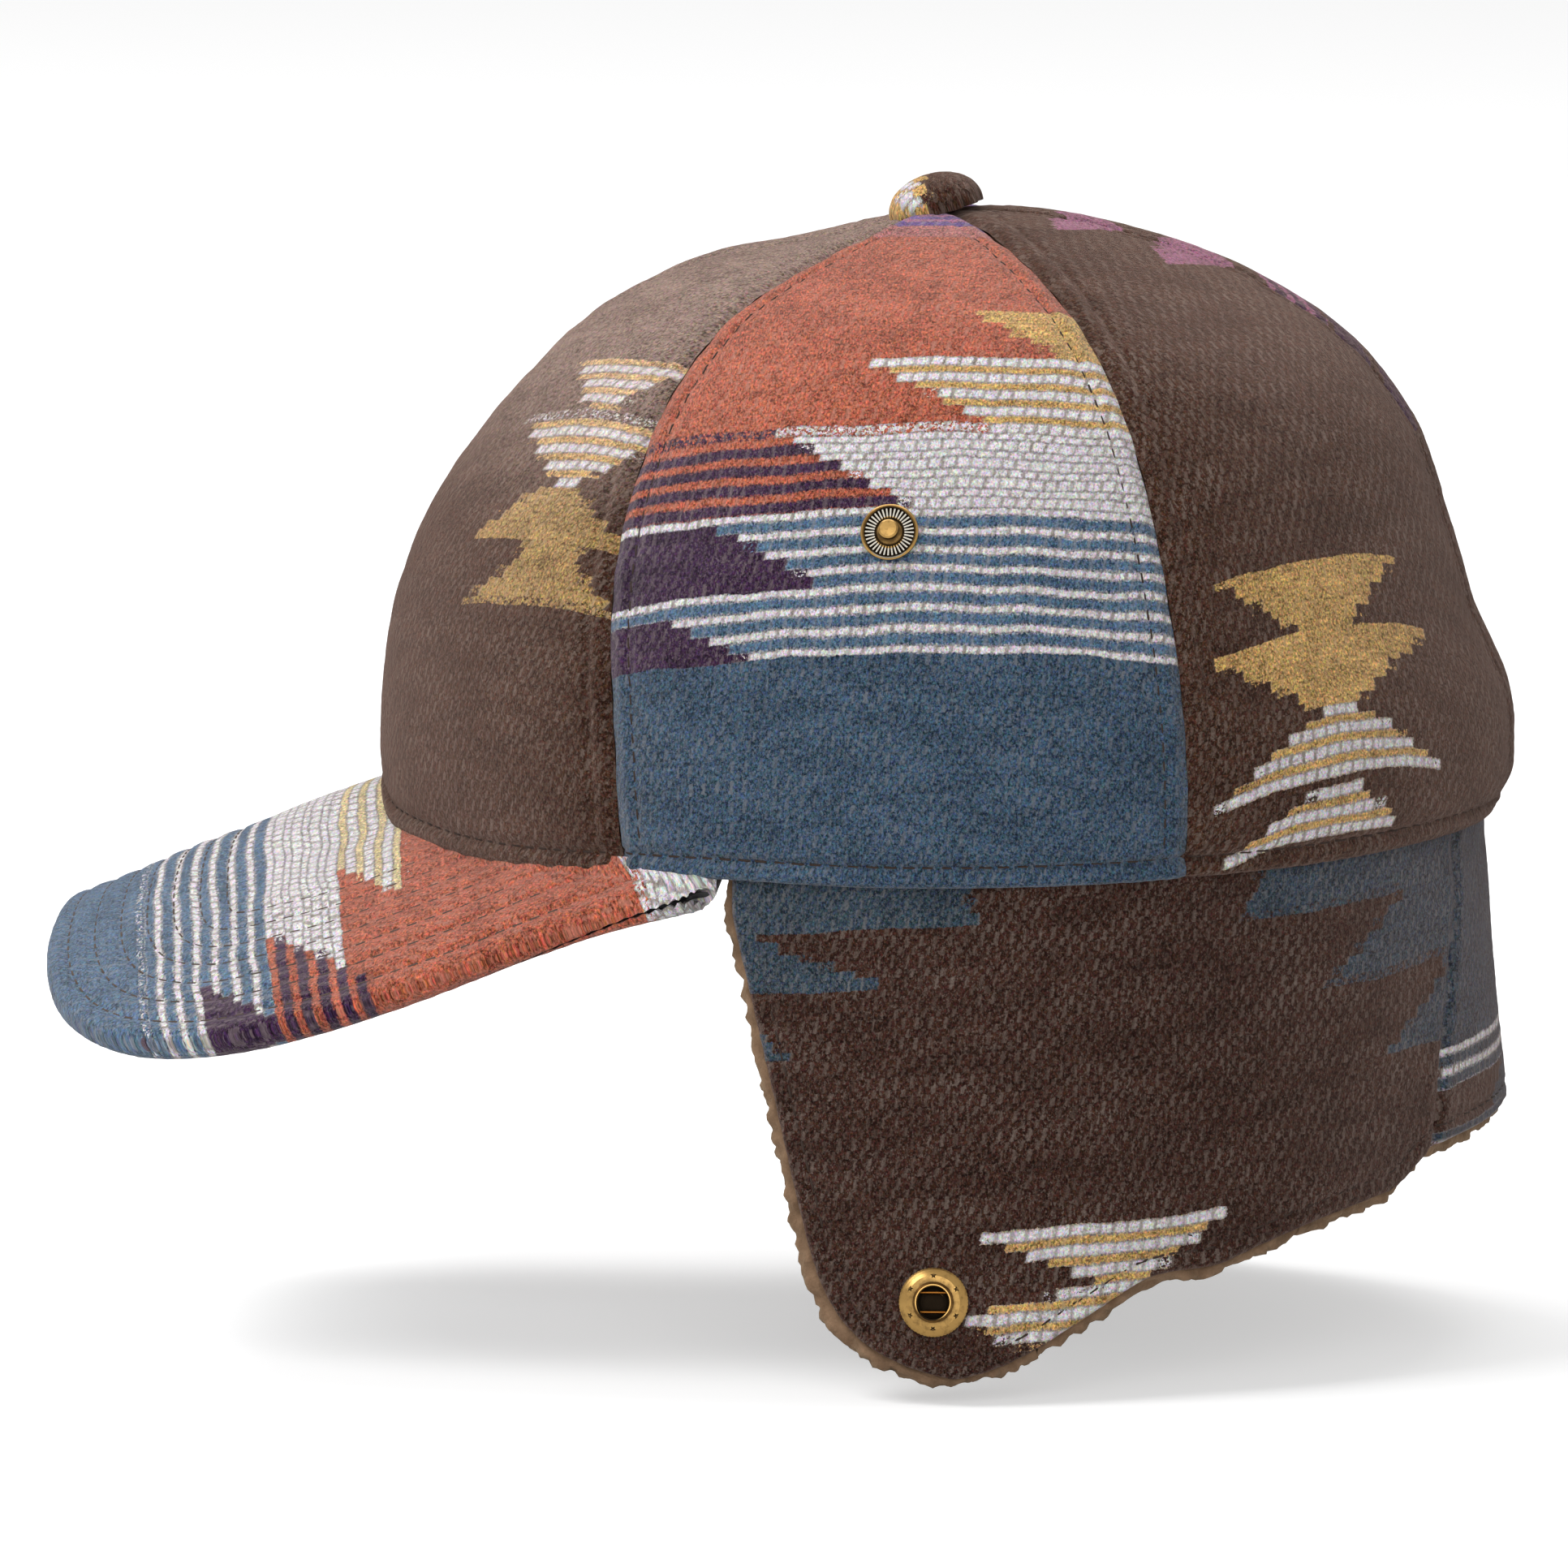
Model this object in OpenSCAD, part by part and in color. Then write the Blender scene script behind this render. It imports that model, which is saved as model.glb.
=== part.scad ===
// Trapper hat: a six panel cloth crown with a curved visor, and a fleece lined flap
// that hangs from inside the rim and turns up around the crown onto two snaps.
// Front is -Y, the wearer's left is +X, and the origin is the centre of the head opening.

/* [Crown] */
// Length of the crown outside, front to back
crown_length = 205; // [190:1:225]
// Width of the crown outside, side to side
crown_width = 172; // [160:1:185]
// Height of the crown from the level of the rim to the foot of the button
crown_height = 107.7; // [100:0.1:120]
// Thickness of the brushed wool cloth
wool_t = 2.2; // [1.6:0.1:2.6]
// Thickness of the crown's lining cloth
lining_t = 1.6; // [1:0.1:2.2]
// Thickness of the sweatband
sweatband_t = 1.2; // [0.8:0.1:1.6]
// Height of the sweatband above the rim
sweatband_h = 32; // [26:1:38]
// How far the two front seams bow forward over the top, in degrees
seam_bow = 8; // [4:1:10]
// Gap left between layers of cloth that are sewn together
cloth_gap = 0.1; // [0.08:0.01:0.2]
// Gap left between the layers that hang free inside the crown
layer_gap = 0.5; // [0.4:0.05:0.7]

/* [Visor] */
// How far the visor's tip stands in front of the crown
visor_reach = 58.5; // [50:0.5:68]
// Width of the visor across its sides
visor_width = 156; // [146:1:168]
// Slope of the visor along its middle, in degrees
visor_slope = 22.5; // [16:0.5:27]
// How far the visor's sides curve down at their widest
visor_drop = 33.5; // [26:0.5:42]
// Thickness of the stiff board inside the visor
visor_board_t = 2; // [1.6:0.1:2.4]
// Width of the cloth's turned edge in front of the board
visor_hem = 2; // [1.5:0.1:3]

/* [Flap] */
// Length of the ear flap below the rim, at its tip
ear_drop = 95.5; // [88:1:102]
// Length of the flap below the rim, at the middle of the neck
neck_drop = 56; // [50:1:62]
// Depth of the fold line below the rim
fold_drop = 4.5; // [4:0.5:6]
// Thickness of the fleece on the flap
fleece_t = 3.5; // [2.5:0.1:4.5]
// How far the fleece shows past the wool along the flap's edge
fleece_show = 2.5; // [1.5:0.1:3.5]
// How far the flap stands out at the height of its snap
flap_flare = 4; // [3:0.5:5]
// Gap between neighbouring stretches of the flap
stretch_gap = 0.6; // [0.5:0.05:0.8]

/* [Snaps] */
// Diameter of the stud's base on the crown
stud_d = 10.3; // [9.5:0.1:11]
// Height of the stud
stud_h = 3.1; // [2.8:0.1:3.4]
// Diameter of the socket on the flap
socket_d = 12.3; // [11.5:0.1:13]
// Height of the socket
socket_h = 3; // [2.8:0.1:3.2]
// Diameter of the socket's mouth
socket_mouth_d = 5.7; // [5.4:0.1:6]
// Number of ridges in the stud's dish
stud_ridges = 36; // [24:2:40]
// Number of notches round the socket's edge
socket_notches = 60; // [40:2:72]
// Number of stars punched round the socket's face
socket_stars = 6; // [4:1:8]
// Diameter of the rivet barrels that pass through the cloth
barrel_d = 4; // [3.6:0.1:4.4]
// Clearance round a barrel in its cloth
barrel_clearance = 0.15; // [0.1:0.01:0.25]

/* [Top button] */
// Diameter of the covered button
button_d = 17; // [15:0.5:19]
// Height of the covered button
button_h = 6.5; // [5.5:0.1:7.5]
// Thickness of the cloth over the button
button_cloth_t = 1.4; // [1:0.1:1.6]
// Thickness of the button's metal shell
button_shell_t = 0.5; // [0.4:0.05:0.7]

/* [Hidden] */

$fn = 64;

// ---- Crown form ----
// Angles run from the middle of the front (0) past the wearer's left (90) to the back (180).
half_l = crown_length / 2;
half_w = crown_width / 2;
apex_y = -2.3;
rim_front_z = 3;
rim_side_z = -3.4;
rim_back_z = 0;
// Each outline runs from the rim to the top, as [share of the half width, share of the height].
front_outline = [[1, 0], [1.006, 0.13], [0.976, 0.33], [0.898, 0.51], [0.765, 0.68],
    [0.616, 0.82], [0.434, 0.91], [0.27, 0.94], [0.12, 0.967], [0, 1]];
side_outline = [[1, 0], [1, 0.11], [0.985, 0.25], [0.95, 0.4], [0.875, 0.56],
    [0.76, 0.71], [0.6, 0.84], [0.4, 0.93], [0.16, 0.993], [0, 1]];
back_outline = [[0.967, 0], [1, 0.07], [0.992, 0.2], [0.932, 0.34], [0.89, 0.48],
    [0.83, 0.65], [0.702, 0.8], [0.48, 0.925], [0.22, 0.993], [0, 1]];
seam_angles = [0, 60, 120, 180, 240, 300, 360];
top_share = 0.95;
panel_cols = 8;
panel_rows = 13;
step = 0.01;

function mix(a, b, k) = a + (b - a) * k;
function unit(v) = v / norm(v);
function spline(p, s) =
    let(n = len(p) - 1, f = min(max(s, 0), 0.9999) * n, i = floor(f), k = f - i)
    let(p0 = p[max(i - 1, 0)], p1 = p[i], p2 = p[i + 1], p3 = p[min(i + 2, n)])
    0.5 * (2 * p1 + (p2 - p0) * k + (2 * p0 - 5 * p1 + 4 * p2 - p3) * k * k
        + (3 * p1 - p0 - 3 * p2 + p3) * k * k * k);
function front_part(t) = pow(max(cos(t), 0), 2);
function back_part(t) = pow(max(-cos(t), 0), 2);
function side_part(t) = pow(sin(t), 2);
function rim_z(t) = front_part(t) * rim_front_z + side_part(t) * rim_side_z + back_part(t) * rim_back_z;
function outline_at(t, s) = front_part(t) * spline(front_outline, s)
    + side_part(t) * spline(side_outline, s) + back_part(t) * spline(back_outline, s);
// A point of the crown's outside, at angle t and share s of the way from the rim to the top.
function crown_point(t, s) =
    let(o = outline_at(t, s))
    [half_w * sin(t) * o[0], apex_y + (-half_l * cos(t) - apex_y) * o[0], mix(rim_z(t), crown_height, o[1])];
function crown_normal(t, s) =
    let(across = crown_point(t + step * 50, s) - crown_point(t - step * 50, s))
    let(up = crown_point(t, min(s + step, 0.99)) - crown_point(t, max(s - step, 0)))
    unit(cross(across, up));
function crown_depth(t, s, depth) = crown_point(t, s) - depth * crown_normal(t, s);
function seam_angle(i, s) =
    let(a = seam_angles[i], bow = seam_bow * sin(180 * s) * s / 0.57)
    a == 60 ? a - bow : a == 300 ? a + bow : a;
// Share of the way up at which the crown reaches height z.
function share_at(t, z, lo = 0, hi = 0.6, n = 12) =
    n == 0 ? (lo + hi) / 2
    : crown_point(t, (lo + hi) / 2)[2] < z ? share_at(t, z, (lo + hi) / 2, hi, n - 1)
    : share_at(t, z, lo, (lo + hi) / 2, n - 1);

// ---- Closed solids from two facing grids of points ----
function flat_list(g) = [for (row = g) for (p = row) p];
function grid_faces(rows, cols, at, flip) =
    [for (r = [0:rows - 2]) for (c = [0:cols - 2]) for (k = [0, 1])
        let(a = at + r * cols + c, b = a + 1, d = a + cols, e = d + 1)
        let(tri = k == 0 ? [a, b, e] : [a, e, d])
        flip ? [tri[2], tri[1], tri[0]] : tri];
function wall_faces(ids, shift, flip) =
    [for (i = [0:len(ids) - 2]) for (k = [0, 1])
        let(a = ids[i], b = ids[i + 1], d = a + shift, e = b + shift)
        let(tri = k == 0 ? [a, d, e] : [a, e, b])
        flip ? [tri[2], tri[1], tri[0]] : tri];
// An open sheet with thickness: outer and inner are rows of points, seen from outside with
// the rows going up and the points of a row going anticlockwise round the crown.
module sheet(outer, inner) {
    rows = len(outer);
    cols = len(outer[0]);
    n = rows * cols;
    polyhedron(
        points = concat(flat_list(outer), flat_list(inner)),
        faces = concat(
            grid_faces(rows, cols, 0, true),
            grid_faces(rows, cols, n, false),
            wall_faces([for (c = [0:cols - 1]) c], n, true),
            wall_faces([for (c = [0:cols - 1]) (rows - 1) * cols + c], n, false),
            wall_faces([for (r = [0:rows - 1]) r * cols], n, false),
            wall_faces([for (r = [0:rows - 1]) r * cols + cols - 1], n, true)),
        convexity = 6);
}
// The same for a sheet that closes on itself all the way round.
module band(outer, inner) {
    rows = len(outer);
    cols = len(outer[0]) + 1;
    n = rows * cols;
    function closed(g) = [for (row = g) concat(row, [row[0]])];
    function same(i) = let(side = floor(i / n), k = i - side * n, r = floor(k / cols), c = k - r * cols)
        side * rows * (cols - 1) + r * (cols - 1) + (c == cols - 1 ? 0 : c);
    raw = concat(
        grid_faces(rows, cols, 0, true),
        grid_faces(rows, cols, n, false),
        wall_faces([for (c = [0:cols - 1]) c], n, true),
        wall_faces([for (c = [0:cols - 1]) (rows - 1) * cols + c], n, false));
    polyhedron(
        points = concat(flat_list(outer), flat_list(inner)),
        faces = [for (f = raw) [for (i = f) same(i)]],
        convexity = 6);
}
// Points up the crown between two angles and two shares, at one depth under its outside.
function crown_grid(rows, cols, depth, t0, t1, s0, s1) =
    [for (r = [0:rows]) [for (c = [0:cols])
        let(s = mix(s0, s1, r / rows)) crown_depth(mix(t0, t1, c / cols), s, depth)]];

// ---- Panels, lining and sweatband ----
seam_gap_angle = cloth_gap / 2 / half_w * 180 / PI;
heading_h = 8;
lining_top_share = 0.94;

function panel_grid(i, depth) =
    [for (r = [0:panel_rows]) [for (c = [0:panel_cols])
        let(s = top_share * r / panel_rows)
        let(t = mix(seam_angle(i, s) + seam_gap_angle, seam_angle(i + 1, s) - seam_gap_angle, c / panel_cols))
        crown_depth(t, s, depth)]];
module crown_panel(i, tint) {
    color(tint) difference() {
        sheet(panel_grid(i, 0), panel_grid(i, wool_t));
        if (i == 1 || i == 4) stud_hole(i == 1 ? 1 : -1);
    }
}
lining_depth = wool_t + layer_gap;
module crown_lining() {
    cols = 48;
    rows = 12;
    function low(t) = share_at(t, rim_z(t) + heading_h + 2);
    function level(depth) = [for (r = [0:rows]) [for (c = [0:cols - 1])
        let(t = 360 * c / cols) crown_depth(t, mix(low(t), lining_top_share, r / rows), depth)]];
    color("tan") difference() {
        band(level(lining_depth), level(lining_depth + lining_t));
        stud_hole(1);
        stud_hole(-1);
    }
}
heading_depth = wool_t + layer_gap;
heading_t = wool_t - cloth_gap;
sweatband_depth = heading_depth + heading_t + layer_gap / 2;
module sweatband() {
    cols = 40;
    rows = 3;
    function high(t) = share_at(t, rim_z(t) + sweatband_h);
    function level(depth) = [for (r = [0:rows]) [for (c = [0:cols - 1])
        let(t = 360 * c / cols) crown_depth(t, mix(0, high(t), r / rows), depth)]];
    color("saddlebrown") band(level(sweatband_depth), level(sweatband_depth + sweatband_t));
}

// ---- Visor ----
visor_end_angle = 69.5;
visor_end_share = 0.985;
visor_cols = 26;
visor_rows = 8;
visor_edge_power = 3.7;
visor_root_y = -half_l * cos(visor_end_angle);
visor_half_t = visor_board_t / 2 + cloth_gap + wool_t;
visor_edge_half_t = wool_t * 0.7;
visor_bulge = 0.5;
function visor_root(t) =
    let(p = crown_depth(t, 0, wool_t / 2)) [p[0], p[1], rim_z(t) - visor_half_t - cloth_gap * 2];
function visor_edge_xy(t) =
    let(k = 90 * t / visor_end_angle, side = sign(k), e = 2 / visor_edge_power)
    [side * visor_width / 2 * pow(abs(sin(k)), e),
        visor_root_y - (half_l + visor_reach + visor_root_y) * pow(max(cos(k), 0), e)];
function visor_edge(t) =
    let(p = visor_edge_xy(t), ahead = -p[1] - half_l, across = p[0] / (visor_width / 2))
    [p[0], p[1], rim_front_z - visor_half_t - ahead * tan(visor_slope) - visor_drop * across * across];
// A point of the visor's middle surface, at angle t and share q of the way to its edge.
function visor_point(t, q) = mix(visor_root(t), visor_edge(t), q) + [0, 0, visor_bulge * 4 * q * (1 - q)];
function visor_normal(t, q) =
    let(across = visor_point(t + step * 50, q) - visor_point(t - step * 50, q))
    let(out = visor_point(t, min(q + step, 1)) - visor_point(t, max(q - step, 0)))
    unit(cross(out, across));
function visor_angle(c) =
    let(k = 2 * c / visor_cols - 1) visor_end_angle * visor_end_share * sin(90 * k);
function visor_reach_at(t) = norm(visor_edge(t) - visor_root(t));
visor_most_hem = 0.3;
function visor_hem_share(t) = 1 - min(visor_hem / visor_reach_at(t), visor_most_hem);
// Rows of points at one height over the middle surface; the last row turns in round the edge.
function visor_grid(lift, edge_lift, hem_rows) =
    concat(
        [for (r = [0:visor_rows]) [for (c = [0:visor_cols])
            let(t = visor_angle(c), q = r / visor_rows * visor_hem_share(t))
            visor_point(t, q) + lift * visor_normal(t, q)]],
        hem_rows ? [[for (c = [0:visor_cols])
            let(t = visor_angle(c)) visor_point(t, 1) + edge_lift * visor_normal(t, 1)]] : []);
board_lift = visor_board_t / 2;
module visor_board() {
    color("dimgray") sheet(visor_grid(-board_lift, 0, false), visor_grid(board_lift, 0, false));
}
module visor_top_cloth() {
    color("chocolate") sheet(
        visor_grid(board_lift + cloth_gap, cloth_gap / 2, true),
        visor_grid(visor_half_t, visor_edge_half_t, true));
}
module visor_under_cloth() {
    color("steelblue") sheet(
        visor_grid(-visor_half_t, -visor_edge_half_t, true),
        visor_grid(-board_lift - cloth_gap, -cloth_gap / 2, true));
}

// ---- Flap ----
flap_front_angle = 71;
flap_tip_angle = 95;
stretch_angles = [flap_front_angle, 104, 134, 162, 180];
flap_depth = wool_t + 2 * cloth_gap;
fleece_depth = flap_depth + wool_t + cloth_gap;
snap_level = 68;
fold_front_drop = 3;
hem_centre = 92;
hem_spread = 26;
ear_spread = 1.3;
function hem_curve(t) = 1 / (1 + pow((t - hem_centre) / hem_spread, 2));
function hem_z(t) =
    let(tip = hem_curve(flap_tip_angle), back = hem_curve(180))
    let(k = (hem_curve(max(t, flap_tip_angle)) - back) / (tip - back))
    -mix(neck_drop, ear_drop, k);
// The fold line is lower at the front of the ear flap, so that its snap meets the stud.
function fold_z(t) =
    let(k = min(max((t - flap_front_angle) / (104 - flap_front_angle), 0), 1))
    rim_z(t) - fold_drop - fold_front_drop * pow(1 - k, 1.2);
// The front edge leans back on its way down and rounds off into the tip.
flap_lean_angle = 12;
flap_round_angle = 12;
flap_round_power = 12;
function flap_front(v) = flap_front_angle + flap_lean_angle * v + flap_round_angle * pow(v, flap_round_power);
// A point of the flap at angle t, depth under the crown's outside and height z.
function flap_point(t, z, depth) =
    let(base = crown_depth(t, 0, depth), n = crown_normal(t, 0), out = unit([n[0], n[1], 0]))
    let(k = max((fold_z(t) - z) / snap_level, 0), ear = pow(max(cos((t - flap_tip_angle) * ear_spread), 0), 2))
    let(flare = flap_flare * mix(k, pow(k, 3), ear))
    [base[0] + out[0] * flare, base[1] + out[1] * flare, z];
flap_rows = 8;
fold_clearance = 0.6;
stretch_angle_gap = stretch_gap / 2 / half_w * 180 / PI;
function stretch_grid(a, b, depth, cols, trim) =
    [for (r = [flap_rows:-1:0]) [for (c = [0:cols])
        let(v = r / flap_rows, vv = 1 - pow(1 - v, 1.5))
        let(lead = a == flap_front_angle)
        let(start = lead ? flap_front(vv) + trim / half_l * 180 / PI : a + stretch_angle_gap)
        let(t = mix(start, b - stretch_angle_gap, c / cols))
        let(top = fold_z(t) - fold_clearance, low = hem_z(t) + trim)
        flap_point(t, mix(top, low, vv), depth)]];
module place(side) {
    if (side > 0) children();
    else mirror([1, 0, 0]) children();
}
module flap_shell(a, b, cols) {
    sheet(stretch_grid(a, b, flap_depth, cols, fleece_show),
        stretch_grid(a, b, flap_depth + wool_t, cols, fleece_show));
}
module flap_fleece(a, b, cols) {
    sheet(stretch_grid(a, b, fleece_depth, cols, 0),
        stretch_grid(a, b, fleece_depth + fleece_t, cols, 0));
}
module ear_flap_shell(side) {
    color("sienna") place(side) difference() {
        flap_shell(stretch_angles[0], stretch_angles[1], 8);
        socket_hole();
    }
}
module ear_flap_fleece(side) {
    color("burlywood") place(side) difference() {
        flap_fleece(stretch_angles[0], stretch_angles[1], 8);
        socket_hole();
    }
}
module side_flap_shell(side) {
    color("sienna") place(side) flap_shell(stretch_angles[1], stretch_angles[2], 6);
}
module side_flap_fleece(side) {
    color("burlywood") place(side) flap_fleece(stretch_angles[1], stretch_angles[2], 6);
}
module rear_flap_shell(side) {
    color("sienna") place(side) flap_shell(stretch_angles[2], stretch_angles[3], 5);
}
module rear_flap_fleece(side) {
    color("burlywood") place(side) flap_fleece(stretch_angles[2], stretch_angles[3], 5);
}
neck_end = 360 - stretch_angles[3];
function neck_grid(depth, trim) =
    let(left = stretch_grid(stretch_angles[3], 180 + stretch_angle_gap, depth, 4, trim))
    [for (row = left) concat(row, [for (i = [3:-1:0]) [-row[i][0], row[i][1], row[i][2]]])];
module neck_flap_shell() {
    color("steelblue") sheet(neck_grid(flap_depth, fleece_show), neck_grid(flap_depth + wool_t, fleece_show));
}
module neck_flap_fleece() {
    color("burlywood") sheet(neck_grid(fleece_depth, 0), neck_grid(fleece_depth + fleece_t, 0));
}
// The strip of the flap above its fold line is sewn in between the panels and the sweatband.
heading_cols = 40;
heading_fleece_depth = heading_depth + heading_t + cloth_gap;
function fold(t) = t > 180 ? 360 - t : t;
function heading_angle(c) = mix(flap_front_angle, 360 - flap_front_angle, c / heading_cols);
module flap_heading() {
    function level(depth) = [
        [for (c = [0:heading_cols]) let(t = heading_angle(c)) flap_point(t, fold_z(fold(t)), depth)],
        [for (c = [0:heading_cols]) let(t = heading_angle(c)) crown_depth(t, 0, depth)],
        [for (c = [0:heading_cols]) let(t = heading_angle(c))
            crown_depth(t, share_at(t, rim_z(t) + heading_h), depth)]];
    color("sienna") sheet(level(heading_depth), level(heading_depth + heading_t));
}
module flap_heading_fleece() {
    function level(depth) = [
        [for (c = [0:heading_cols]) let(t = heading_angle(c)) flap_point(t, fold_z(fold(t)), depth)],
        [for (c = [0:heading_cols]) let(t = heading_angle(c))
            let(p = crown_depth(t, 0, depth)) [p[0], p[1], rim_z(t) - cloth_gap * 4]]];
    color("burlywood") sheet(level(heading_fleece_depth), level(heading_fleece_depth + fleece_t));
}

// ---- Snaps ----
stud_angle = 88.7;
stud_share = 0.44;
rivet_flange_t = 0.6;
rivet_flange_d = 9;
rivet_gap = 0.6;
socket_angle = 93.8;
socket_z = -77.6;
cap_d = 12.5;
cap_dome = 1.8;
cap_seat = 0.2;
// Height of a snap's base plate over the cloth, and the thickness of its brass
snap_seat = 0.2;
brass_t = 0.3;
hole_reach = 12;
// Children stand on the point p with their Z axis along n.
module stand(p, n) {
    translate(p) rotate([0, acos(n[2]), atan2(n[1], n[0])]) children();
}
module at_stud(side) {
    place(side) stand(crown_point(stud_angle, stud_share), crown_normal(stud_angle, stud_share)) children();
}
function socket_point() = flap_point(socket_angle, socket_z, flap_depth);
function socket_normal() =
    let(across = flap_point(socket_angle + 0.5, socket_z, flap_depth)
        - flap_point(socket_angle - 0.5, socket_z, flap_depth))
    let(up = flap_point(socket_angle, socket_z + 1, flap_depth) - flap_point(socket_angle, socket_z - 1, flap_depth))
    unit(cross(across, up));
module at_socket(side) {
    place(side) stand(socket_point(), socket_normal()) children();
}
module barrel_hole() {
    translate([0, 0, -hole_reach]) cylinder(d = barrel_d + 2 * barrel_clearance, h = 2 * hole_reach);
}
module stud_hole(side) {
    at_stud(side) barrel_hole();
}
module socket_hole() {
    at_socket(1) barrel_hole();
}
module ring_of(n, r) {
    for (i = [0:n - 1]) rotate([0, 0, 360 * i / n]) translate([r, 0, 0]) children();
}
// Dished base with a rolled rim, radial ridges in the dish and a round post with a swollen head.
roll_w = 0.65;
roll_h = 1;
dish_floor = snap_seat + 0.4;
post_r = socket_mouth_d / 2 - 1.1;
collar_r = post_r + 0.45;
neck_r = post_r - 0.25;
ridge_w = 0.26;
ridge_h = 0.25;
module snap_stud(side) {
    rim = stud_d / 2;
    dish_r = rim - roll_w;
    ridge_in = collar_r + 0.5;
    color("darkgoldenrod") at_stud(side) {
        rotate_extrude()
            polygon([[0, snap_seat], [rim - brass_t, snap_seat], [rim, snap_seat + brass_t],
                [rim, snap_seat + roll_h - brass_t], [rim - roll_w / 2, snap_seat + roll_h],
                [dish_r, snap_seat + roll_h - brass_t], [dish_r, dish_floor], [collar_r + brass_t, dish_floor],
                [collar_r, dish_floor + brass_t], [neck_r, dish_floor + 2 * brass_t],
                [neck_r, stud_h - 1.1], [post_r, stud_h - 0.75], [post_r, stud_h - 0.35],
                [post_r - 0.3, stud_h - 0.08], [0, stud_h]]);
        ring_of(stud_ridges, ridge_in)
            translate([0, -ridge_w / 2, dish_floor - 0.1]) cube([dish_r - 0.15 - ridge_in, ridge_w, ridge_h + 0.1]);
    }
}
rivet_depth = lining_depth + lining_t + rivet_gap;
module snap_stud_rivet(side) {
    color("darkgoldenrod") at_stud(side) {
        translate([0, 0, -rivet_depth - rivet_flange_t])
            cylinder(d = rivet_flange_d, h = rivet_flange_t);
        translate([0, 0, -rivet_depth - rivet_flange_t])
            cylinder(d = barrel_d, h = rivet_depth + rivet_flange_t + snap_seat - 0.05);
    }
}
// Ring of thin brass round the mouth, with a raised lip, a notched edge and punched stars.
lip_t = 0.5;
edge_h = 1.1;
star_d = 1.2;
well_r = socket_mouth_d / 2 + 0.9;
module star(d) {
    polygon([for (i = [0:9]) let(r = d / 2 * (i % 2 == 0 ? 1 : 0.45)) [r * cos(36 * i), r * sin(36 * i)]]);
}
module snap_socket(side) {
    rim = socket_d / 2;
    mouth = socket_mouth_d / 2;
    lip = mouth + lip_t;
    bore = barrel_d / 2 + 0.05;
    star_r = (lip + rim) / 2;
    floor_h = snap_seat + brass_t;
    color("darkgoldenrod") at_socket(side) difference() {
        rotate_extrude()
            polygon([[bore, snap_seat], [rim - brass_t, snap_seat], [rim, floor_h], [rim, edge_h - brass_t],
                [rim - brass_t, edge_h], [rim - 0.8, edge_h + 0.4], [star_r, edge_h + 0.8],
                [lip + 0.3, edge_h + 1.1], [lip, socket_h - 0.25], [lip - 0.15, socket_h], [mouth + 0.15, socket_h],
                [mouth, socket_h - 0.2], [mouth, socket_h - 0.6], [well_r - 0.3, socket_h - 1.1],
                [well_r - 0.3, floor_h], [bore, floor_h]]);
        ring_of(socket_stars, star_r)
            translate([0, 0, edge_h + 0.55]) linear_extrude(1) star(star_d);
        ring_of(socket_notches, rim)
            translate([0, 0, edge_h / 2]) rotate([0, 0, 45]) cube([0.18, 0.18, edge_h * 2], center = true);
    }
}
// Two straight wires grip the stud's neck; their bent ends lie round the socket's well.
spring_wire_d = 0.5;
module snap_socket_spring(side) {
    ring_r = well_r - 0.3 - 0.05 - spring_wire_d / 2;
    grip = neck_r + spring_wire_d / 2;
    half_wire = sqrt(ring_r * ring_r - grip * grip);
    color("goldenrod") at_socket(side) translate([0, 0, snap_seat + brass_t + 0.05 + spring_wire_d / 2]) {
        rotate_extrude() translate([ring_r, 0]) circle(d = spring_wire_d, $fn = 16);
        for (x = [-grip, grip])
            translate([x, 0, 0]) rotate([90, 0, 0]) cylinder(d = spring_wire_d, h = 2 * half_wire, center = true);
    }
}
module snap_cap(side) {
    under = fleece_depth + fleece_t - flap_depth + cloth_gap + cap_seat;
    rim = cap_d / 2;
    color("darkgoldenrod") at_socket(side) {
        translate([0, 0, -under]) rotate_extrude()
            polygon([[0, -cap_dome], [rim * 0.4, -cap_dome * 0.94], [rim * 0.74, -cap_dome * 0.72],
                [rim * 0.93, -cap_dome * 0.39], [rim, -brass_t], [rim, 0], [0, 0]]);
        translate([0, 0, -under]) cylinder(d = barrel_d, h = under + snap_seat + brass_t);
    }
}

// ---- Top button ----
button_tilt = 10;
button_lift = 0.3;
prong_d = 2.4;
prong_flange_d = 11;
module at_top() {
    translate([0, apex_y, crown_height]) rotate([button_tilt, 0, 0]) children();
}
function dome(r, h, n) = [for (i = [0:n]) [r * cos(90 * i / n), h * sin(90 * i / n)]];
module dome_shell(r, h, t) {
    rotate_extrude() difference() {
        polygon(concat([[0, 0]], dome(r, h, 16)));
        polygon(concat([[0, -0.01]], [for (p = dome(r - t, h - t, 16)) [p[0], p[1] - (p[1] == 0 ? 0.01 : 0)]]));
    }
}
module top_button_cover() {
    color("saddlebrown") at_top() translate([0, 0, button_lift])
        dome_shell(button_d / 2, button_h, button_cloth_t);
}
button_inside = button_cloth_t + 0.05;
module top_button_shell() {
    color("silver") at_top() translate([0, 0, button_lift])
        dome_shell(button_d / 2 - button_inside, button_h - button_inside, button_shell_t);
}
prong_depth = lining_depth + lining_t + 0.6;
module top_button_prong() {
    inner_r = button_d / 2 - button_inside - button_shell_t - 0.1;
    color("silver") at_top() {
        translate([0, 0, button_lift + 0.1]) cylinder(r = inner_r - 0.9, h = 0.6);
        translate([0, 0, -prong_depth - 0.5]) cylinder(d = prong_d, h = prong_depth + button_lift + 0.8);
        translate([0, 0, -prong_depth - 0.5]) cylinder(d = prong_flange_d, h = 0.5);
    }
}

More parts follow.
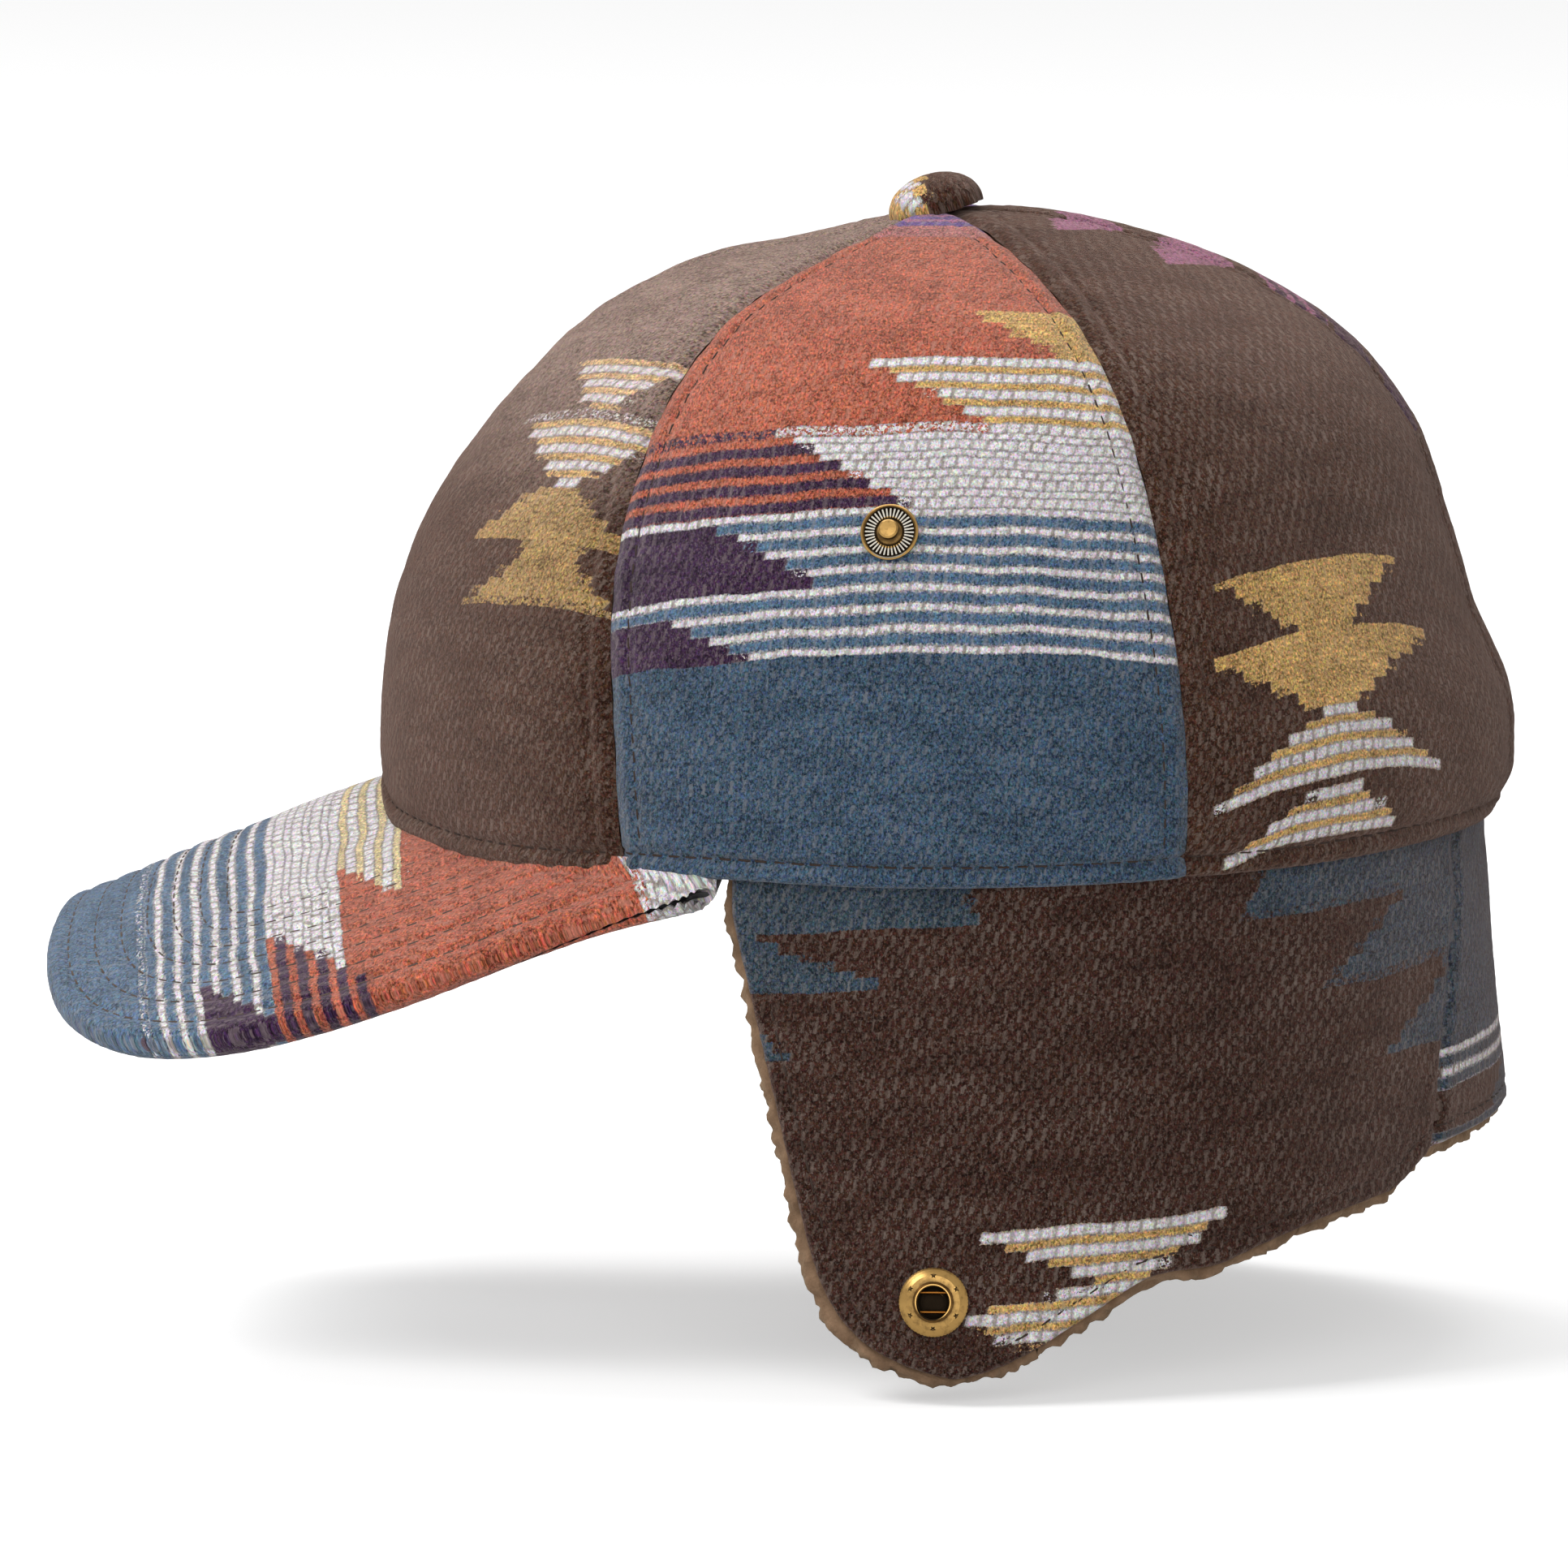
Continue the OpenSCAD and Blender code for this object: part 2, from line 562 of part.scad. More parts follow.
crown_panel(0, "saddlebrown");  // crown_panel_front_left
crown_panel(1, "coral");  // crown_panel_side_left
crown_panel(2, "saddlebrown");  // crown_panel_rear_left
crown_panel(3, "saddlebrown");  // crown_panel_rear_right
crown_panel(4, "coral");  // crown_panel_side_right
crown_panel(5, "saddlebrown");  // crown_panel_front_right
crown_lining();
sweatband();
top_button_cover();
top_button_shell();
top_button_prong();
visor_board();
visor_top_cloth();
visor_under_cloth();
flap_heading();
flap_heading_fleece();
snap_stud(1);  // snap_stud_left
snap_stud(-1);  // snap_stud_right
snap_stud_rivet(1);  // snap_stud_rivet_left
snap_stud_rivet(-1);  // snap_stud_rivet_right
ear_flap_shell(1);  // ear_flap_shell_left
ear_flap_shell(-1);  // ear_flap_shell_right
ear_flap_fleece(1);  // ear_flap_fleece_left
ear_flap_fleece(-1);  // ear_flap_fleece_right
side_flap_shell(1);  // side_flap_shell_left
side_flap_shell(-1);  // side_flap_shell_right
side_flap_fleece(1);  // side_flap_fleece_left
side_flap_fleece(-1);  // side_flap_fleece_right
rear_flap_shell(1);  // rear_flap_shell_left
rear_flap_shell(-1);  // rear_flap_shell_right
rear_flap_fleece(1);  // rear_flap_fleece_left
rear_flap_fleece(-1);  // rear_flap_fleece_right
neck_flap_shell();
neck_flap_fleece();
snap_socket(1);  // snap_socket_left
snap_socket(-1);  // snap_socket_right
snap_socket_spring(1);  // snap_socket_spring_left
snap_socket_spring(-1);  // snap_socket_spring_right
snap_cap(1);  // snap_cap_left
snap_cap(-1);  // snap_cap_right
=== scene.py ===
"""Trapper hat: the cloth, fleece, stitching and brass of a six panel cap with a turn-up flap.

The shapes follow the hat's own pattern pieces: every piece of cloth is a sheet laid over the
crown, the visor or the flap, and its weave is drawn in millimetres of cloth.
"""
import math

import bmesh
import bpy
import numpy as np
from mathutils import Matrix, Vector


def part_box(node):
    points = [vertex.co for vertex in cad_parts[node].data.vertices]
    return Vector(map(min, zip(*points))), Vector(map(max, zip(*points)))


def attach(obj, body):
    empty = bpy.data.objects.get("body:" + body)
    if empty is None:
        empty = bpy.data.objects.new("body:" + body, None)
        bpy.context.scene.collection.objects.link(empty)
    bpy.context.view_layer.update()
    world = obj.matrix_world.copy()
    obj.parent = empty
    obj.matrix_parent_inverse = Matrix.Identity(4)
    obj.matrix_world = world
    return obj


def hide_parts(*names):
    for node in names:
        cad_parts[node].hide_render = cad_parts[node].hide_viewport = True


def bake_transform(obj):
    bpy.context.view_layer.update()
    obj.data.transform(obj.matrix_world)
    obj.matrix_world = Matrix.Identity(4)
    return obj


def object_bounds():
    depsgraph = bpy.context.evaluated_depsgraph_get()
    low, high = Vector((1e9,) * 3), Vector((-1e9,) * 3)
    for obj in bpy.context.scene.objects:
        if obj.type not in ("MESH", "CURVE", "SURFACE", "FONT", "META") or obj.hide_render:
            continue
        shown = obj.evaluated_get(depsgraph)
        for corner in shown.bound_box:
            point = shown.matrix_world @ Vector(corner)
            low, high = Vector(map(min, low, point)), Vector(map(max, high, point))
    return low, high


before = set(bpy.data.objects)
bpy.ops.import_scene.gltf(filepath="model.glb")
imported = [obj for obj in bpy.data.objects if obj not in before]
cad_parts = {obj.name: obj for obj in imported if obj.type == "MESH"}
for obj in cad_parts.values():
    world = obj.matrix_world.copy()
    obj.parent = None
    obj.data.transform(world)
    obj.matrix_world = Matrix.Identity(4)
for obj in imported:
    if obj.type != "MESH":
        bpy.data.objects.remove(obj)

cad_low, cad_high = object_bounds()
MM = 0.001

# ---- Sizes, in millimetres, read from the frame where a part shows them ----
HALF_W = round(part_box("crown_panel_side_left")[1].x / MM)       # crown, half its width
HALF_L = 102.5                                  # crown, half its length
CROWN_H = 107.7                                 # height of the crown under its button
APEX_Y = -2.3                                   # the button sits just in front of the middle
RIM_FRONT, RIM_SIDE, RIM_BACK = 3.0, -3.4, 0.0  # level of the rim
SEAM_BOW = 8.0                                  # degrees the front seams bow forward
WOOL_T = 2.2                                    # thickness of the brushed wool
FLAP_DEPTH = 2.4                                # the flap's wool hangs this far inside the crown
FLEECE_DEPTH = 4.7
FLEECE_T = 3.5
FLEECE_SHOW = 2.5                               # fleece past the wool at the flap's edge
FOLD_DROP = 4.5                                 # fold line below the rim
FLARE = 4.0                                     # how far the flap stands out at its snap
EAR_DROP, NECK_DROP = 95.5, 56.0
STITCH = 3.4                                    # from one stitch to the next
FLAP_FRONT = 71.0                               # angle at which the flap starts, from the front
RIM_SAG = 4.6                                   # how far the rim sags beside the visor's middle
HEM_FULLER = 5.0                                # how much lower the hem hangs beside the neck
NECK_FLARE = 2.0                                # how far the neck's lower edge stands out
TIP_FROM, TIP_CUT = -80.0, 2.7                  # the ear's tip is cut round below this level, by so much
# The flap is cut as one stretch after another: these from its front edge on, and the neck at the back
FLAP_PARTS = (("ear", 71.0, 104.0), ("side", 104.0, 134.0), ("rear", 134.0, 162.0))
NECK = (162.0, 198.0)

# ---- Crown, flap and visor as surfaces ----
# Angles run from the middle of the front (0) past the wearer's left (90) to the back (180).
FRONT_OUTLINE = np.array([[1, 0], [1.006, 0.13], [0.976, 0.33], [0.898, 0.51], [0.765, 0.68],
                          [0.616, 0.82], [0.434, 0.91], [0.27, 0.94], [0.12, 0.967], [0, 1]])
SIDE_OUTLINE = np.array([[1, 0], [1, 0.11], [0.985, 0.25], [0.95, 0.4], [0.875, 0.56],
                         [0.76, 0.71], [0.6, 0.84], [0.4, 0.93], [0.16, 0.993], [0, 1]])
BACK_OUTLINE = np.array([[0.967, 0], [1, 0.07], [0.992, 0.2], [0.932, 0.34], [0.89, 0.48],
                         [0.83, 0.65], [0.702, 0.8], [0.48, 0.925], [0.22, 0.993], [0, 1]])


def unit(v):
    return v / np.linalg.norm(v, axis=-1, keepdims=True)


def along_outline(points, share):
    """A smooth curve through the outline's points, at a share of the way up it."""
    last = len(points) - 1
    f = np.clip(share, 0, 0.9999) * last
    i = np.floor(f).astype(int)
    k = (f - i)[..., None]
    p0, p1 = points[np.maximum(i - 1, 0)], points[i]
    p2, p3 = points[i + 1], points[np.minimum(i + 2, last)]
    return 0.5 * (2 * p1 + (p2 - p0) * k + (2 * p0 - 5 * p1 + 4 * p2 - p3) * k ** 2
                  + (3 * p1 - p0 - 3 * p2 + p3) * k ** 3)


def shares_round(angle):
    """How much of the front's, the side's and the back's outline counts at an angle."""
    c = np.cos(np.radians(angle))
    return np.maximum(c, 0) ** 2, 1 - c ** 2, np.maximum(-c, 0) ** 2


def rim_z(angle):
    front, side, back = shares_round(angle)
    return front * RIM_FRONT + side * RIM_SIDE + back * RIM_BACK


def run_of(line):
    """How far along a line each of its points lies."""
    return np.concatenate([[0], np.cumsum(np.linalg.norm(np.diff(line, axis=0), axis=1))])


def read_off(at, places, values):
    """The values at some places along a line, between the places where they are known."""
    return np.stack([np.interp(at, places, values[:, i]) for i in range(values.shape[1])], -1)


def run_over(grid):
    """How far along each row and up each column of a grid its points lie, in mm, and its area in m2."""
    steps = np.linalg.norm(np.diff(grid, axis=1), axis=2)
    rises = np.linalg.norm(np.diff(grid, axis=0), axis=2)
    across = np.concatenate([np.zeros((len(grid), 1)), np.cumsum(steps, axis=1)], 1)
    up = np.concatenate([np.zeros((1, grid.shape[1])), np.cumsum(rises, axis=0)], 0)
    return across, up, float(np.sum(steps[:-1] * rises[:, :-1])) * MM * MM


def ease(value, start, end):
    k = np.clip((value - start) / (end - start), 0, 1)
    return k * k * (3 - 2 * k)


def rim_dip(angle):
    """How far the cloth of the rim sags beside the middle of the visor, which holds the rim up."""
    a = np.abs(angle)
    return RIM_SAG * ease(a, 2, 19) * (1 - ease(a, 33, 77))


def crown_point(angle, share):
    angle, share = np.broadcast_arrays(np.asarray(angle, float), np.asarray(share, float))
    r = np.radians(angle)
    front, side, back = shares_round(angle)
    o = (front[..., None] * along_outline(FRONT_OUTLINE, share)
         + side[..., None] * along_outline(SIDE_OUTLINE, share)
         + back[..., None] * along_outline(BACK_OUTLINE, share))
    low = rim_z(angle)
    return np.stack([HALF_W * np.sin(r) * o[..., 0],
                     APEX_Y + (-HALF_L * np.cos(r) - APEX_Y) * o[..., 0],
                     low + (CROWN_H - low) * o[..., 1]], -1)


def crown_normal(angle, share):
    across = crown_point(angle + 0.5, share) - crown_point(angle - 0.5, share)
    above, below = np.minimum(share + 0.01, 0.99), np.maximum(share - 0.01, 0)
    up = crown_point(angle, above) - crown_point(angle, below)
    return unit(np.cross(across, up))


def seam_angle(seam, share):
    bow = SEAM_BOW * np.sin(np.pi * share) * share / 0.57
    return seam - bow if seam == 60 else seam + 0 * share


def hem_curve(angle):
    return 1 / (1 + ((angle - 92) / 26) ** 2)


def hem_z(angle):
    tip, back = hem_curve(95.0), hem_curve(180.0)
    k = (hem_curve(np.maximum(angle, 95.0)) - back) / (tip - back)
    # The hem hangs fuller beside the neck, then steps up to it
    fuller = HEM_FULLER * ease(angle, 114, 125) * (1 - ease(angle, 147, 156))
    return -(NECK_DROP + (EAR_DROP - NECK_DROP) * k) - fuller


def fold_z(angle):
    k = np.clip((angle - FLAP_FRONT) / 33, 0, 1)
    return rim_z(angle) - FOLD_DROP - 3 * (1 - k) ** 1.2


def flap_front(v):
    """The front edge's angle, at a share of the way from the fold to the tip."""
    v = np.clip(v, 0, 1)
    return FLAP_FRONT + 12 * v + 12 * v ** 12


def flap_point(angle, z, depth):
    angle, z = np.broadcast_arrays(np.asarray(angle, float), np.asarray(z, float))
    n = crown_normal(angle, 0 * angle)
    base = crown_point(angle, 0 * angle) - np.asarray(depth)[..., None] * n
    out = unit(n[..., :2])
    k = np.maximum((fold_z(angle) - z) / 68, 0)
    ear = np.maximum(np.cos(np.radians((angle - 95) * 1.3)), 0) ** 2
    flare = FLARE * (k * (1 - ear) + ear * k ** 3) + NECK_FLARE * k * ease(angle, 145, 172)
    return np.concatenate([base[..., :2] + out * flare[..., None], z[..., None]], -1)


# ---- Meshes from grids of points ----
def deselect():
    for other in bpy.context.selected_objects:
        other.select_set(False)


def active(piece):
    deselect()
    piece.select_set(True)
    bpy.context.view_layer.objects.active = piece


def grid_faces(rows, cols, first, flip):
    ids = first + np.arange(rows * cols).reshape(rows, cols)
    quads = np.stack([ids[:-1, :-1], ids[:-1, 1:], ids[1:, 1:], ids[1:, :-1]], -1).reshape(-1, 4)
    return quads[:, ::-1] if flip else quads


def border(rows, cols):
    """The grid's outer points in order, once round."""
    ids = np.arange(rows * cols).reshape(rows, cols)
    return np.concatenate([ids[0, :-1], ids[:-1, -1], ids[-1, :0:-1], ids[:0:-1, 0]])


def cloth_piece(name, outer, cloth, material, inner=None, mirrored=False):
    """A sheet of cloth from a grid of points in mm, with its place in the cloth as a UV map.

    With an inner grid the sheet is closed and has a thickness.
    """
    rows, cols = outer.shape[:2]
    points = outer.reshape(-1, 3)
    places = cloth.reshape(-1, 2)
    faces = grid_faces(rows, cols, 0, mirrored)
    if inner is not None:
        n = rows * cols
        loop = border(rows, cols)
        after = np.roll(loop, -1)
        wall = np.stack([loop, loop + n, after + n, after], -1)
        faces = np.concatenate([faces, grid_faces(rows, cols, n, not mirrored),
                                wall[:, ::-1] if mirrored else wall])
        points = np.concatenate([points, inner.reshape(-1, 3)])
        places = np.concatenate([places, places])
    if mirrored:
        points = points * (-1, 1, 1)
        places = places + (1000, 0)
    mesh = bpy.data.meshes.new(name)
    mesh.from_pydata(points * MM, [], faces.tolist())
    corners = np.empty(len(mesh.loops), np.int32)
    mesh.loops.foreach_get("vertex_index", corners)
    layer = mesh.uv_layers.new(name="cloth")
    layer.uv.foreach_set("vector", (places[corners] * MM).astype(np.float32).ravel())
    piece = bpy.data.objects.new(name, mesh)
    bpy.context.scene.collection.objects.link(piece)
    mesh.materials.append(material)
    if inner is not None:
        weld(piece)
    active(piece)
    bpy.ops.object.shade_smooth_by_angle(angle=math.radians(50))
    return piece


def mode(name):
    bpy.ops.object.mode_set(mode=name)


def weld(piece):
    shape = bmesh.new()
    shape.from_mesh(piece.data)
    bmesh.ops.remove_doubles(shape, verts=shape.verts, dist=0.01 * MM)
    shape.to_mesh(piece.data)
    shape.free()


NAP = ("CLOUDS", 1.6, 0.28)         # the wool's nap: kind of noise, size and height in mm


def roughen(piece, kind, size, height, group=""):
    """Raises and lowers the surface by a natural noise of a size and height in mm."""
    texture = bpy.data.textures.new(piece.name + kind, kind)
    texture.noise_scale = size * MM
    displace = piece.modifiers.new("nap", "DISPLACE")
    displace.texture = texture
    displace.texture_coords = "LOCAL"
    displace.strength = height * MM
    displace.mid_level = 0.5
    displace.vertex_group = group
    active(piece)
    bpy.ops.object.modifier_apply(modifier="nap")


def stands_for(piece, node):
    """The piece rides on the crown and takes the place of one solid."""
    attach(piece, "crown")
    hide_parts(node)


# ---- Materials ----
def linear(code):
    """An sRGB hex colour as the linear values that a shader takes."""
    parts = [int(code[i:i + 2], 16) / 255 for i in (1, 3, 5)]
    return (*[c / 12.92 if c <= 0.04045 else ((c + 0.055) / 1.055) ** 2.4 for c in parts], 1)


def add(tree, kind, inputs, out=0, **settings):
    """Adds a node with its settings, links or sets its inputs, and gives one output."""
    node = tree.nodes.new("ShaderNode" + kind)
    for name, value in settings.items():
        setattr(node, name, value)
    for key, value in inputs.items():
        if isinstance(value, bpy.types.NodeSocket):
            tree.links.new(value, node.inputs[key])
        else:
            node.inputs[key].default_value = value
    return node.outputs[out] if len(node.outputs) else None


def maths(tree, operation, *values, **settings):
    return add(tree, "Math", dict(enumerate(values)), operation=operation, **settings)


def vectors(tree, operation, *values, **settings):
    return add(tree, "VectorMath", dict(enumerate(values)), operation=operation, **settings)


def mix(tree, share, first, second):
    return add(tree, "Mix", {0: share, 6: first, 7: second}, out=2, data_type="RGBA")


def noise(tree, place, scale, detail=2.0, rough=0.5, **settings):
    inputs = {"Vector": place, "Scale": scale, "Detail": detail, "Roughness": rough}
    return add(tree, "TexNoise", inputs, **settings)


def spread(tree, value, from_min=0.0, from_max=1.0, to_min=0.0, to_max=1.0, **settings):
    """Carries a value from one range to another, and keeps it within."""
    inputs = {"Value": value, "From Min": from_min, "From Max": from_max,
              "To Min": to_min, "To Max": to_max}
    return add(tree, "MapRange", inputs, **settings)


def smooth(tree, *values):
    """The same with a soft start and end."""
    return spread(tree, *values, interpolation_type="SMOOTHSTEP")


def in_mm(tree):
    """The piece's own coordinates, in millimetres."""
    return vectors(tree, "MULTIPLY", add(tree, "TexCoord", {}, out=3), (1000, 1000, 1000))


def cloth_in_mm(tree):
    """The place on the cloth, in millimetres."""
    return vectors(tree, "MULTIPLY", add(tree, "UVMap", {}, uv_map="cloth"), (1000, 1000, 0))


def new_material(name):
    material = bpy.data.materials.new(name)
    material.use_nodes = True
    tree = material.node_tree
    tree.nodes.clear()
    return material, tree


def finish(tree, surface):
    add(tree, "OutputMaterial", {"Surface": surface})


def finish_plainly(tree, colour, roughness, inputs):
    """Ends a material with its own surface, from a colour, a roughness and whatever else it has."""
    finish(tree, add(tree, "BsdfPrincipled", {"Base Color": colour, "Roughness": roughness, **inputs}))


def relief(tree, height, strength, depth):
    """Fine relief: a height from 0 to 1, taken as so many millimetres."""
    return add(tree, "Bump", {"Height": height, "Strength": strength, "Distance": depth * MM})


def gap(tree, first, second):
    """How far two values are apart."""
    return maths(tree, "ABSOLUTE", maths(tree, "SUBTRACT", first, second))


WOOL = {
    "brown": "#3e271d",
    "umber": "#37211a",
    "navy": "#303f4c",
    "blue": "#364b5f",
    "steel": "#47617a",
    "orange": "#9f533d",
    "white": "#dad5d8",
    "mustard": "#b89358",
    "purple": "#36213b",
    "mauve": "#8a5672",
    "ochre": "#97794a",
    "violet": "#573f78",
    "cream": "#cdb98c",
    "rose": "#9c605c",
}
PAIR = 3.57             # height of two rows of weft, mm: a thick one and a thin one
THICK = 0.6            # the thick row's share of a pair
KNOT = 2.6              # length of a weft float between two warp ends, mm


def blanket_wool(name, ground, motifs, phase=0.0, painted_top_light=0.0):
    """Brushed blanket wool: a coarse coloured weft over a thin taupe warp, fulled and raised.

    The eye sees rows of soft floats with the warp between them, under a fuzzy heathered nap.
    Each motif is ((low, high), (left at low, left at high), (right at low, right at high), colours).
    """
    material, tree = new_material(name)
    flat = cloth_in_mm(tree)
    sway = noise(tree, flat, 0.07, out=1)
    sway = vectors(tree, "MULTIPLY_ADD", sway, (2.2, 2.2, 0), (-1.1, -1.1, 0))
    fray = noise(tree, flat, 1.7, 3.0, 0.7, out=1)
    fray = vectors(tree, "MULTIPLY_ADD", fray, (1.3, 1.1, 0), (-0.65, -0.55, 0))
    frays = add(tree, "SeparateXYZ", {"Vector": fray})
    at = vectors(tree, "ADD", flat, sway)
    at = vectors(tree, "ADD", at, fray)
    x = add(tree, "SeparateXYZ", {"Vector": at})
    y = x.node.outputs[1]
    # The right side is cut from cloth a metre further along, with the same motifs
    x = maths(tree, "WRAP", x, 500.0, -500.0)
    # Rows of weft in pairs, and floats in each row, set half a float along in every other row
    pairs = maths(tree, "MULTIPLY_ADD", y, 1 / PAIR, -phase / PAIR)
    pair = maths(tree, "FLOOR", pairs)
    part = maths(tree, "FRACT", pairs)
    odd = maths(tree, "GREATER_THAN", part, THICK)
    tall = maths(tree, "MULTIPLY_ADD", odd, 1 - 2 * THICK, THICK)
    up = maths(tree, "MULTIPLY_ADD", odd, -THICK, part)
    up = maths(tree, "DIVIDE", up, tall)
    row = maths(tree, "MULTIPLY_ADD", pair, 2.0, odd)
    mid_y = maths(tree, "MULTIPLY_ADD", odd, 0.5, THICK / 2)
    mid_y = maths(tree, "ADD", pair, mid_y)
    mid_y = maths(tree, "MULTIPLY_ADD", mid_y, PAIR, phase)
    mid_y = maths(tree, "MULTIPLY_ADD", frays.node.outputs[1], 1.2, mid_y)
    run = maths(tree, "MULTIPLY", x, 1 / KNOT)
    run = maths(tree, "MULTIPLY_ADD", odd, 0.5, run)
    pair_step = maths(tree, "MULTIPLY", pair, 0.37)
    pair_step = maths(tree, "SINE", pair_step)
    run = maths(tree, "MULTIPLY_ADD", pair_step, 0.35, run)
    run = maths(tree, "MULTIPLY_ADD", up, -0.13, run)
    col = maths(tree, "FLOOR", run)
    along = maths(tree, "FRACT", run)
    # Where the float's middle lies decides its colour, so that motifs step from row to row
    mid_x = maths(tree, "MULTIPLY_ADD", along, -KNOT, x)
    mid_x = maths(tree, "MULTIPLY_ADD", frays, 2.4, mid_x)
    fibre_at = vectors(tree, "MULTIPLY", flat, (2.2, 1.6, 1))
    fibre = noise(tree, fibre_at, 1.0, 5.0, 0.8)
    # The thin row's colour runs a little into the thick ones, as raised fibres do
    soft = gap(tree, part, 0.5 + THICK / 2)
    other = maths(tree, "SUBTRACT", 1.0, soft)
    soft = maths(tree, "MINIMUM", soft, other)
    soft = maths(tree, "MULTIPLY_ADD", fibre, -0.5, soft)
    soft = smooth(tree, soft, 0.05, -0.13)
    tints = {}

    def tint(colours):
        if colours not in tints:
            names = colours.split("/")
            first, second = linear(WOOL[names[0]]), linear(WOOL[names[-1]])
            tints[colours] = first if len(names) == 1 else mix(tree, soft, first, second)
        return tints[colours]

    weft = tint(ground)
    for (low, high), (left_low, left_high), (right_low, right_high), colours in motifs:
        height = high - low
        lean = ((left_high + right_high) - (left_low + right_low)) / 2 / height
        widen = ((right_high - left_high) - (right_low - left_low)) / 2 / height
        middle = maths(tree, "MULTIPLY_ADD", mid_y, lean, (left_low + right_low) / 2 - lean * low)
        half = maths(tree, "MULTIPLY_ADD", mid_y, widen, (right_low - left_low) / 2 - widen * low)
        within = maths(tree, "COMPARE", mid_x, middle, half)
        level = maths(tree, "COMPARE", mid_y, (low + high) / 2, height / 2)
        both = maths(tree, "MULTIPLY", within, level)
        weft = mix(tree, both, weft, tint(colours))
    # Shade of single floats, their fibres, and the patchy nap, with painted shade in the grooves between
    # rows
    ids = add(tree, "CombineXYZ", {"X": col, "Y": row})
    chance = add(tree, "TexWhiteNoise", {"Vector": ids}, out=1)
    chances = add(tree, "SeparateXYZ", {"Vector": chance})
    drift = vectors(tree, "MULTIPLY", flat, (0.05, 0.14, 1))
    patch = noise(tree, drift, 1.0, 3.0, 0.6)
    tone = add(tree, "SeparateXYZ", {"Vector": weft})
    pale = spread(tree, tone.node.outputs[2], 0.12, 0.5)
    light = maths(tree, "MULTIPLY_ADD", chances, 0.4, -5.05)
    light = maths(tree, "MULTIPLY_ADD", fibre, 9.0, light)
    clump = noise(tree, flat, 0.5, 3.0, 0.65)
    light = maths(tree, "MULTIPLY_ADD", clump, 1.6, light)
    light = maths(tree, "MULTIPLY_ADD", patch, 1.1, light)
    calm = maths(tree, "MULTIPLY_ADD", pale, -0.75, 1.0)
    light = maths(tree, "SUBTRACT", light, 1.0)
    light = maths(tree, "MULTIPLY_ADD", light, calm, 1.0)
    light = maths(tree, "MAXIMUM", light, 0.3)
    # Painted shade: the grooves between rows of weft are painted darker, more on pale colours
    between = smooth(tree, gap(tree, up, 0.5), 0.25, 0.5)
    dip = maths(tree, "MULTIPLY_ADD", pale, -0.4, -0.12)
    shaded = maths(tree, "MULTIPLY_ADD", between, dip, light)
    shaded = add(tree, "CombineXYZ", {"X": shaded, "Y": shaded, "Z": shaded})
    if painted_top_light:
        # Painted highlight: the wool is painted paler towards the top of the crown, where light from above
        # lifts the nap
        spot = add(tree, "TexCoord", {}, out=3)
        spot = add(tree, "SeparateXYZ", {"Vector": spot}, out=2)
        top_light_share = smooth(tree, spot, 0.05, 0.088, 0.0, painted_top_light)
        weft = mix(tree, top_light_share, weft, linear("#bfa79b"))
    plain_weft = weft
    weft = vectors(tree, "MULTIPLY", weft, shaded)
    # Dyed fibres of several shades are spun together
    hue_at = vectors(tree, "MULTIPLY_ADD", flat, (2.6, 1.9, 1), (9, 5, 0))
    hue = noise(tree, hue_at, 1.0, 3.0, 0.75, out=1)
    hue = vectors(tree, "MULTIPLY_ADD", hue, (1.9, 2.0, 2.2), (0.05, 0.0, -0.1))
    weft = vectors(tree, "MULTIPLY", weft, hue)
    # The warp shows between the floats, more in some places than in others, and as stray fibres
    ends = smooth(tree, gap(tree, along, 0.5), 0.29, 0.43)
    shows = maths(tree, "MULTIPLY_ADD", chances.node.outputs[1], 0.9, 0.1)
    shows = maths(tree, "MULTIPLY_ADD", pale, 0.45, shows, use_clamp=True)
    ends = maths(tree, "MULTIPLY", ends, shows)
    stray_at = vectors(tree, "MULTIPLY_ADD", flat, (2.1, 1.3, 1), (40, 70, 0))
    stray = add(tree, "TexNoise", {"Vector": stray_at, "Scale": 1.0, "Detail": 4.0, "Roughness": 0.75,
                                   "Distortion": 0.2})
    strays = smooth(tree, stray, 0.51, 0.62, 0.0, 0.9)
    thin = spread(tree, patch, 0.35, 0.65, 0.5, 1.0)
    showing = maths(tree, "MAXIMUM", ends, strays)
    showing = maths(tree, "MULTIPLY", showing, thin)
    warp_tone = spread(tree, fibre, 0.3, 0.7)
    warp = mix(tree, warp_tone, linear("#4c433c"), linear("#aaa096"))
    rubbed = vectors(tree, "MULTIPLY", plain_weft, (1.7, 1.7, 1.7))
    rubs = maths(tree, "MULTIPLY_ADD", pale, -0.5, 0.5)
    warp = mix(tree, rubs, warp, rubbed)
    colour = mix(tree, showing, weft, warp)
    # Relief of the floats under the nap
    height = maths(tree, "MULTIPLY_ADD", ends, -0.5, 1.0)
    height = maths(tree, "MULTIPLY_ADD", between, dip, height)
    height = maths(tree, "MULTIPLY_ADD", fibre, 2.2, height)
    sheen = linear("#f2d3c6" if ground in ("brown", "umber") else "#eee6e2")
    finish_plainly(tree, colour, 1.0, {
        "Specular IOR Level": 0.05, "Sheen Weight": 0.4, "Sheen Roughness": 0.3, "Sheen Tint": sheen,
        "Normal": relief(tree, height, 0.7, 0.3)})
    return material


